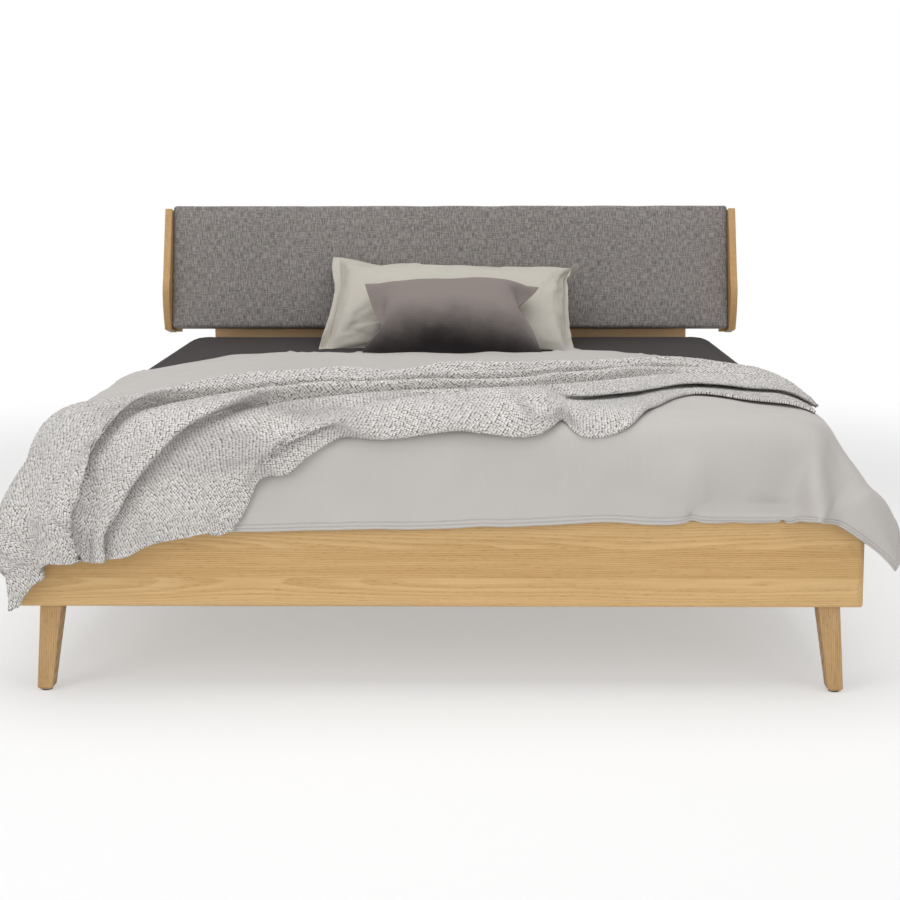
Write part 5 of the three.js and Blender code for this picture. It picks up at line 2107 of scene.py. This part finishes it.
@dataclass
class Mattress:
    """A pocket-spring mattress in quilted ticking with a piped rim above and below."""

    corner: float = 0.09
    edge: float = 0.045
    piping: float = 0.0035
    turns: int = 10
    channel_depth: float = 0.0016
    channels: int = 4

    def build(self) -> None:
        """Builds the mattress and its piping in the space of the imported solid."""
        low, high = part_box("mattress")
        inset = Vector((self.piping, self.piping, 0.0))
        piece = rounded_block("mattress_ticking", low + inset, high - inset, self.corner, self.edge)
        with editing(piece):
            bpy.ops.mesh.subdivide(number_cuts=9)
        self.quilt(piece, low.z + self.edge, high.z - self.edge)
        box_map(piece)
        ticking = WovenFinish("ticking", paint(238, 236, 231), paint(219, 216, 209), pitch=0.0016, relief=0.0005)
        piece.data.materials.append(ticking.material())
        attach(piece, BED)
        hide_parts("mattress")
        LOG.info("mattress built")
        finish = WovenFinish("piping_tape", paint(196, 193, 186), paint(176, 172, 165), pitch=0.001).material()
        for name, level in (("lower", low.z + self.edge), ("upper", high.z - self.edge)):
            self.pipe(f"mattress_piping_{name}", high, level, finish)

    def quilt(self, piece: bpy.types.Object, low: float, high: float) -> None:
        """Presses sewn channels into the mattress's border.

        Args:
            piece: The mattress.
            low: Where its border starts.
            high: Where its border ends.
        """
        points = vertices_of(piece.data)
        share = np.clip((points[:, 2] - low) / (high - low), 0, 1)
        wave = 0.5 + 0.5 * np.cos(2 * math.pi * self.channels * share)
        inside = (points[:, 2] > low) & (points[:, 2] < high)
        draw_in(points, self.channel_depth * wave**6 * inside)
        set_vertices(piece, points)

    def pipe(self, name: str, high: Vector, level: float, finish: bpy.types.Material) -> None:
        """Lays one ring of piping round the mattress.

        Args:
            name: The piece's name.
            high: The mattress's highest corner.
            level: The ring's height.
            finish: Its material.
        """
        ring = []
        for corner, (across, along) in enumerate(((1, 1), (-1, 1), (-1, -1), (1, -1))):
            centre = Vector((across * (high.x - self.corner), along * (high.y - self.corner), level))
            for step in range(self.turns + 1):
                turn = math.pi / 2 * (corner + step / self.turns)
                ring.append(centre + (self.corner - self.piping) * Vector((math.cos(turn), math.sin(turn), 0)))
        curve = bpy.data.curves.new(name, "CURVE")
        curve.dimensions = "3D"
        curve.bevel_depth = self.piping
        curve.bevel_resolution = 2
        line = curve.splines.new("POLY")
        line.points.add(len(ring) - 1)
        for point, place in zip(line.points, ring):
            point.co = (*place, 1.0)
        line.use_cyclic_u = True
        select_only(place_object(name, curve))
        bpy.ops.object.convert(target="MESH")
        piece = bpy.context.object
        bpy.ops.object.shade_smooth()
        box_map(piece)
        piece.data.materials.clear()
        piece.data.materials.append(finish)
        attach(piece, BED)
        LOG.info("%s laid", name)


@dataclass
class FittedSheet:
    """A jersey sheet stretched over the mattress, gathered at its corners and its hem."""

    thickness: float = 0.0014
    corner: float = 0.092
    edge: float = 0.047
    taken_up: float = 0.06
    flute: float = 0.021
    gather: float = 0.0028
    pull: float = 0.0016
    pull_width: float = 0.012
    pull_start: float = 0.02
    corner_over: tuple[float, float] = (0.16, 0.03)
    side_strip: float = 0.05
    pulls: tuple[tuple[float, float], ...] = ((0.30, 0.16), (0.18, 0.30), (0.36, 0.30))
    rumple: float = 0.0006

    def build(self) -> None:
        """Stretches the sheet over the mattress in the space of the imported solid."""
        low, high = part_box("fitted_sheet")
        piece = rounded_block("fitted_sheet_cloth", (low.x, low.y, low.z - self.edge), high, self.corner, self.edge)
        with editing(piece):
            bpy.ops.mesh.bisect(plane_co=(0, 0, low.z), plane_no=(0, 0, 1), clear_inner=True)
            bpy.ops.mesh.select_all(action="SELECT")
            bpy.ops.mesh.subdivide(number_cuts=15)
        self.ruffle(piece, low, high)
        box_map(piece)
        cloth = WovenFinish("sheet_jersey", paint(52, 47, 46), paint(42, 38, 37), pitch=0.0011, fine=500.0,
                            long=160.0, contrast=0.5, relief=0.0002, roughness=0.95, sheen=0.04, drift=0.25)
        piece.data.materials.append(cloth.material())
        thicken(piece, "thickness", self.thickness)
        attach(piece, BED)
        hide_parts("fitted_sheet")
        LOG.info("fitted sheet stretched")

    def ruffle(self, piece: bpy.types.Object, low: Vector, high: Vector) -> None:
        """Adds gathers at the corners and the hem, and faint pulls on the top.

        Args:
            piece: The sheet.
            low: Its lowest corner.
            high: Its highest corner.
        """
        points = vertices_of(piece.data)
        x, y, z = points.T
        turn = np.arctan2(y, x)
        down = smooth_step(high.z - z, 0.01, high.z - low.z)
        near_end, near_side = (
            smooth_step(np.abs(place), *(end - reach for reach in self.corner_over))
            for place, end in ((y, high.y), (x, high.x))
        )
        run = np.where(np.abs(x) > high.x - self.side_strip, y, x)
        flutes = np.sin(2 * math.pi * run / self.flute + 2 * np.sin(9 * turn)) * down
        draw_in(points, np.abs(self.gather * flutes * (0.25 * down + near_side * near_end)))
        top = smooth_step(z, high.z - 0.01, high.z - 0.001)
        pulled = np.zeros_like(x)
        for a, b in ((-1, -1), (-1, 1), (1, -1), (1, 1)):
            for in_x, in_y in self.pulls:
                start = (a * (high.x - self.pull_start), b * (high.y - self.pull_start))
                end = (a * (high.x - in_x), b * (high.y - in_y))
                pulled += crease(x, y, start, end, self.pull_width)
        points[:, 2] += top * (self.pull * pulled + self.rumple * ripples(x, y, 61, 0.22))
        set_vertices(piece, points)


@dataclass
class HeadboardPad:
    """The headboard's foam pad under a slubby woven cover, leaning back between the cheeks."""

    lean: float = 11.2
    thickness: float = 0.065
    height: float = 0.423
    edge: float = 0.015
    weld: float = 0.00002
    crown: float = 0.004
    crown_reach: float = 0.07
    pull: float = 0.0008
    pull_reach: float = 0.09
    seam: float = 0.0012
    seam_reach: float = 0.02
    across: int = 150
    up: int = 36

    def at(self, rise: Array, back: Array) -> tuple[Array, Array]:
        """Turns places on the leaning pad into places along and above the bed.

        Args:
            rise: Distances up the front face from its foot.
            back: Distances behind the front face.

        Returns:
            The matching Y and Z.
        """
        low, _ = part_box("headboard_pad")
        turn = math.radians(self.lean)
        foot_z = low.z + self.thickness * math.sin(turn)
        y = low.y + rise * math.cos(math.pi / 2 - turn) + back * math.cos(turn)
        return y, foot_z + rise * math.cos(turn) - back * math.sin(turn)

    def face_at(self, level: Array) -> Array:
        """Where the front face stands at a height above the floor."""
        foot_y, foot_z = self.at(np.zeros(1), np.zeros(1))
        return foot_y[0] + (level - foot_z[0]) * math.tan(math.radians(self.lean))

    def block(self, width: float) -> bpy.types.Object:
        """Makes the foam flat on its back, with rounded rims and a close grid of faces.

        Args:
            width: Its width.

        Returns:
            The new object.
        """
        bpy.ops.object.select_all(action="DESELECT")
        bpy.ops.mesh.primitive_grid_add(x_subdivisions=self.across, y_subdivisions=self.up, size=1)
        piece = bpy.context.object
        piece.name = "headboard_upholstery"
        piece.scale = (width, self.height, 1)
        bpy.ops.object.transform_apply(scale=True)
        thicken(piece, "foam", self.thickness)
        bevel_edges(piece, "rim", self.edge, 5, limit_method="ANGLE", angle_limit=math.radians(60))
        with editing(piece):
            bpy.ops.mesh.remove_doubles(threshold=self.weld)
            bpy.ops.mesh.dissolve_degenerate(threshold=self.weld)
        return piece

    def build(self) -> None:
        """Crowns the foam, covers it and leans it back."""
        low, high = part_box("headboard_pad")
        width = high.x - low.x
        piece = self.block(width)
        u, v, depth = vertices_of(piece.data).T
        front = smooth_step(depth, -0.02, -0.001)
        rim = np.minimum(width / 2 - np.abs(u), self.height / 2 - np.abs(v))
        crown = self.crown * (smooth_step(rim, 0.0, self.crown_reach) - 1.0)
        pull = self.pull * ripples(u, 3 * v, 71, 0.12) * (1 - smooth_step(rim, 0.0, self.pull_reach))
        depth = depth + front * (crown + pull)
        side = smooth_step(np.abs(v), self.height / 2 - self.seam_reach, self.height / 2)
        v = v - np.sign(v) * side * self.seam * (1 + ripples(u, 0 * u, 72, 0.16))
        if piece.data.uv_layers:
            piece.data.uv_layers.remove(piece.data.uv_layers[0])
        box_map(piece)
        y, z = self.at(v + self.height / 2, -depth)
        set_vertices(piece, np.stack([u, y, z], -1))
        cloth = WovenFinish("headboard_cloth", paint(156, 151, 147), paint(91, 87, 85), pitch=0.0034, fine=270.0,
                            long=42.0, contrast=0.85, relief=0.0012, roughness=0.95, sheen=0.2, drift=0.05)
        piece.data.materials.append(cloth.material())
        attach(piece, BED)
        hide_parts("headboard_pad")
        LOG.info("headboard upholstered")


# ---------- screw heads


@dataclass
class SocketScrews:
    """Button-head socket screws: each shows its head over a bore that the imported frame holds."""

    head_radius: float = 0.0072
    head_height: float = 0.0038
    socket_radius: float = 0.0029
    socket_depth: float = 0.0022
    crown: float = 0.0022
    shank_radius: float = 0.0039
    shank: float = 0.018
    plate: float = 0.004
    board_face: float = 1.010
    board_across: float = 0.880
    rail_face: float = 0.925
    rail_along: float = 0.965
    bracket_rows: tuple[tuple[str, float], ...] = (("lower", 0.226), ("upper", 0.276))
    support_across: tuple[float, ...] = (-0.690, -0.230, 0.230, 0.690)
    support_level: float = 0.344
    cleats: tuple[tuple[str, float], ...] = (("left", -0.700), ("centre", 0.0), ("right", 0.700))
    cleat_rows: tuple[tuple[str, float], ...] = (("lower", 0.662), ("upper", 0.739))

    def pattern(self) -> bpy.types.Object:
        """Models one screw at the origin, with its head towards +Z.

        Returns:
            The new object.
        """
        bpy.ops.object.select_all(action="DESELECT")
        bpy.ops.mesh.primitive_cylinder_add(vertices=28, radius=self.head_radius, depth=self.head_height,
                                            location=(0, 0, self.head_height / 2))
        head = bpy.context.object
        bpy.ops.object.transform_apply(location=True)
        bpy.ops.object.mode_set(mode="EDIT")
        bpy.ops.mesh.select_all(action="DESELECT")
        bpy.ops.object.mode_set(mode="OBJECT")
        for side in head.data.edges:
            ends = [head.data.vertices[i].co.z for i in side.vertices]
            side.select = min(ends) > 0.99 * self.head_height
        bpy.ops.object.mode_set(mode="EDIT")
        bpy.ops.mesh.select_mode(type="EDGE")
        bpy.ops.mesh.bevel(offset=self.crown, segments=4)
        bpy.ops.mesh.select_mode(type="FACE")
        bpy.ops.mesh.select_all(action="DESELECT")
        bpy.ops.object.mode_set(mode="OBJECT")
        for face in head.data.polygons:
            face.select = face.normal.z < -0.9
        bpy.ops.object.mode_set(mode="EDIT")
        bpy.ops.mesh.inset(thickness=self.head_radius - self.shank_radius)
        bpy.ops.mesh.extrude_region_move(TRANSFORM_OT_translate={"value": (0, 0, -self.shank)})
        bpy.ops.object.mode_set(mode="OBJECT")
        bpy.ops.object.select_all(action="DESELECT")
        bpy.ops.mesh.primitive_cylinder_add(vertices=6, radius=self.socket_radius, depth=2 * self.socket_depth,
                                            location=(0, 0, self.head_height))
        key = bpy.context.object
        bpy.ops.object.transform_apply(location=True)
        hollow = head.modifiers.new("socket", "BOOLEAN")
        hollow.operation, hollow.object = "DIFFERENCE", key
        bpy.context.view_layer.objects.active = head
        bpy.ops.object.modifier_apply(modifier=hollow.name)
        remove([key])
        head.select_set(True)
        bpy.ops.object.shade_smooth_by_angle(angle=math.radians(35))
        return head

    def build(self) -> None:
        """Sets a screw at each bore."""
        pattern = self.pattern()
        steel = SteelFinish("screw_zinc", paint(150, 152, 156), 0.28).material()
        pattern.data.materials.append(steel)
        for name, place, facing in self.seats():
            turn = Vector((0, 0, 1)).rotation_difference(Vector(facing)).to_matrix().to_4x4()
            mesh = pattern.data.copy()
            mesh.transform(Matrix.Translation(place) @ turn)
            screw = place_object(name, mesh)
            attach(screw, BED)
        remove([pattern])
        LOG.info("screw heads set")

    def seats(self) -> list[tuple[str, Triple, Triple]]:
        """Finds where the screws go.

        Returns:
            Every screw's name, the place that its head sits on, and the way that it looks.
        """
        found = []
        for end_name, end in (("front", -1), ("rear", 1)):
            for side_name, side in (("left", -1), ("right", 1)):
                inner_x, inner_y = side * (self.rail_face - self.plate), end * (self.board_face - self.plate)
                for row, level in self.bracket_rows:
                    label = f"{end_name}_{side_name}_{row}"
                    found.append((f"screw_board_{label}", (side * self.board_across, inner_y, level), (0, -end, 0)))
                    found.append((f"screw_rail_{label}", (inner_x, end * self.rail_along, level), (-side, 0, 0)))
        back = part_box("support_board")[1].y
        for number, across in enumerate(self.support_across, 1):
            found.append((f"screw_support_{number}", (across, back, self.support_level), (0, 1, 0)))
        for name, across in self.cleats:
            for row, level in self.cleat_rows:
                found.append((f"screw_cleat_{name}_{row}", (across, back, level), (0, 1, 0)))
        return found


# ---------- the whole bed


# Where the mattress's plain block starts, and how round the frame's plain block is.
BUMPER_FLOOR = 0.36
FRAME_CORNER = 0.02
FRAME_EDGE = 0.008


def bumpers() -> list[bpy.types.Object]:
    """Makes plain blocks in the space of the made-up mattress and of the frame, for the duvet to land on.

    Returns:
        The two blocks.
    """
    low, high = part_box("fitted_sheet")
    board_low, board_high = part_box("footboard")
    rail_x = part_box("side_rail_right")[1].x
    frame_low, frame_high = (-rail_x, board_low.y, board_low.z), (rail_x, -board_low.y, board_high.z)
    return [
        rounded_block("bumper_mattress", (low.x, low.y, BUMPER_FLOOR), high, Mattress.corner, Mattress.edge),
        rounded_block("bumper_frame", frame_low, frame_high, FRAME_CORNER, FRAME_EDGE),
    ]


def main() -> None:
    """Builds the studio and the bed, and reports each piece."""
    logging.basicConfig(level=logging.INFO, format="%(message)s")
    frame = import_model()
    bpy.ops.object.select_all(action="DESELECT")
    Studio().build()
    Joinery().dress(frame["nodes"])
    SocketScrews().build()
    pad = HeadboardPad()
    pad.build()
    Mattress().build()
    FittedSheet().build()
    blocks = bumpers()
    surface = Duvet().build(blocks)
    Throw().build(surface)
    remove(blocks)
    sheet_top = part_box("fitted_sheet")[1].z
    Pillow().build(sheet_top, pad.face_at)
    Cushion().build(sheet_top + Duvet.loft)
    LOG.info("bed made up")


if __name__ == "__main__":
    main()
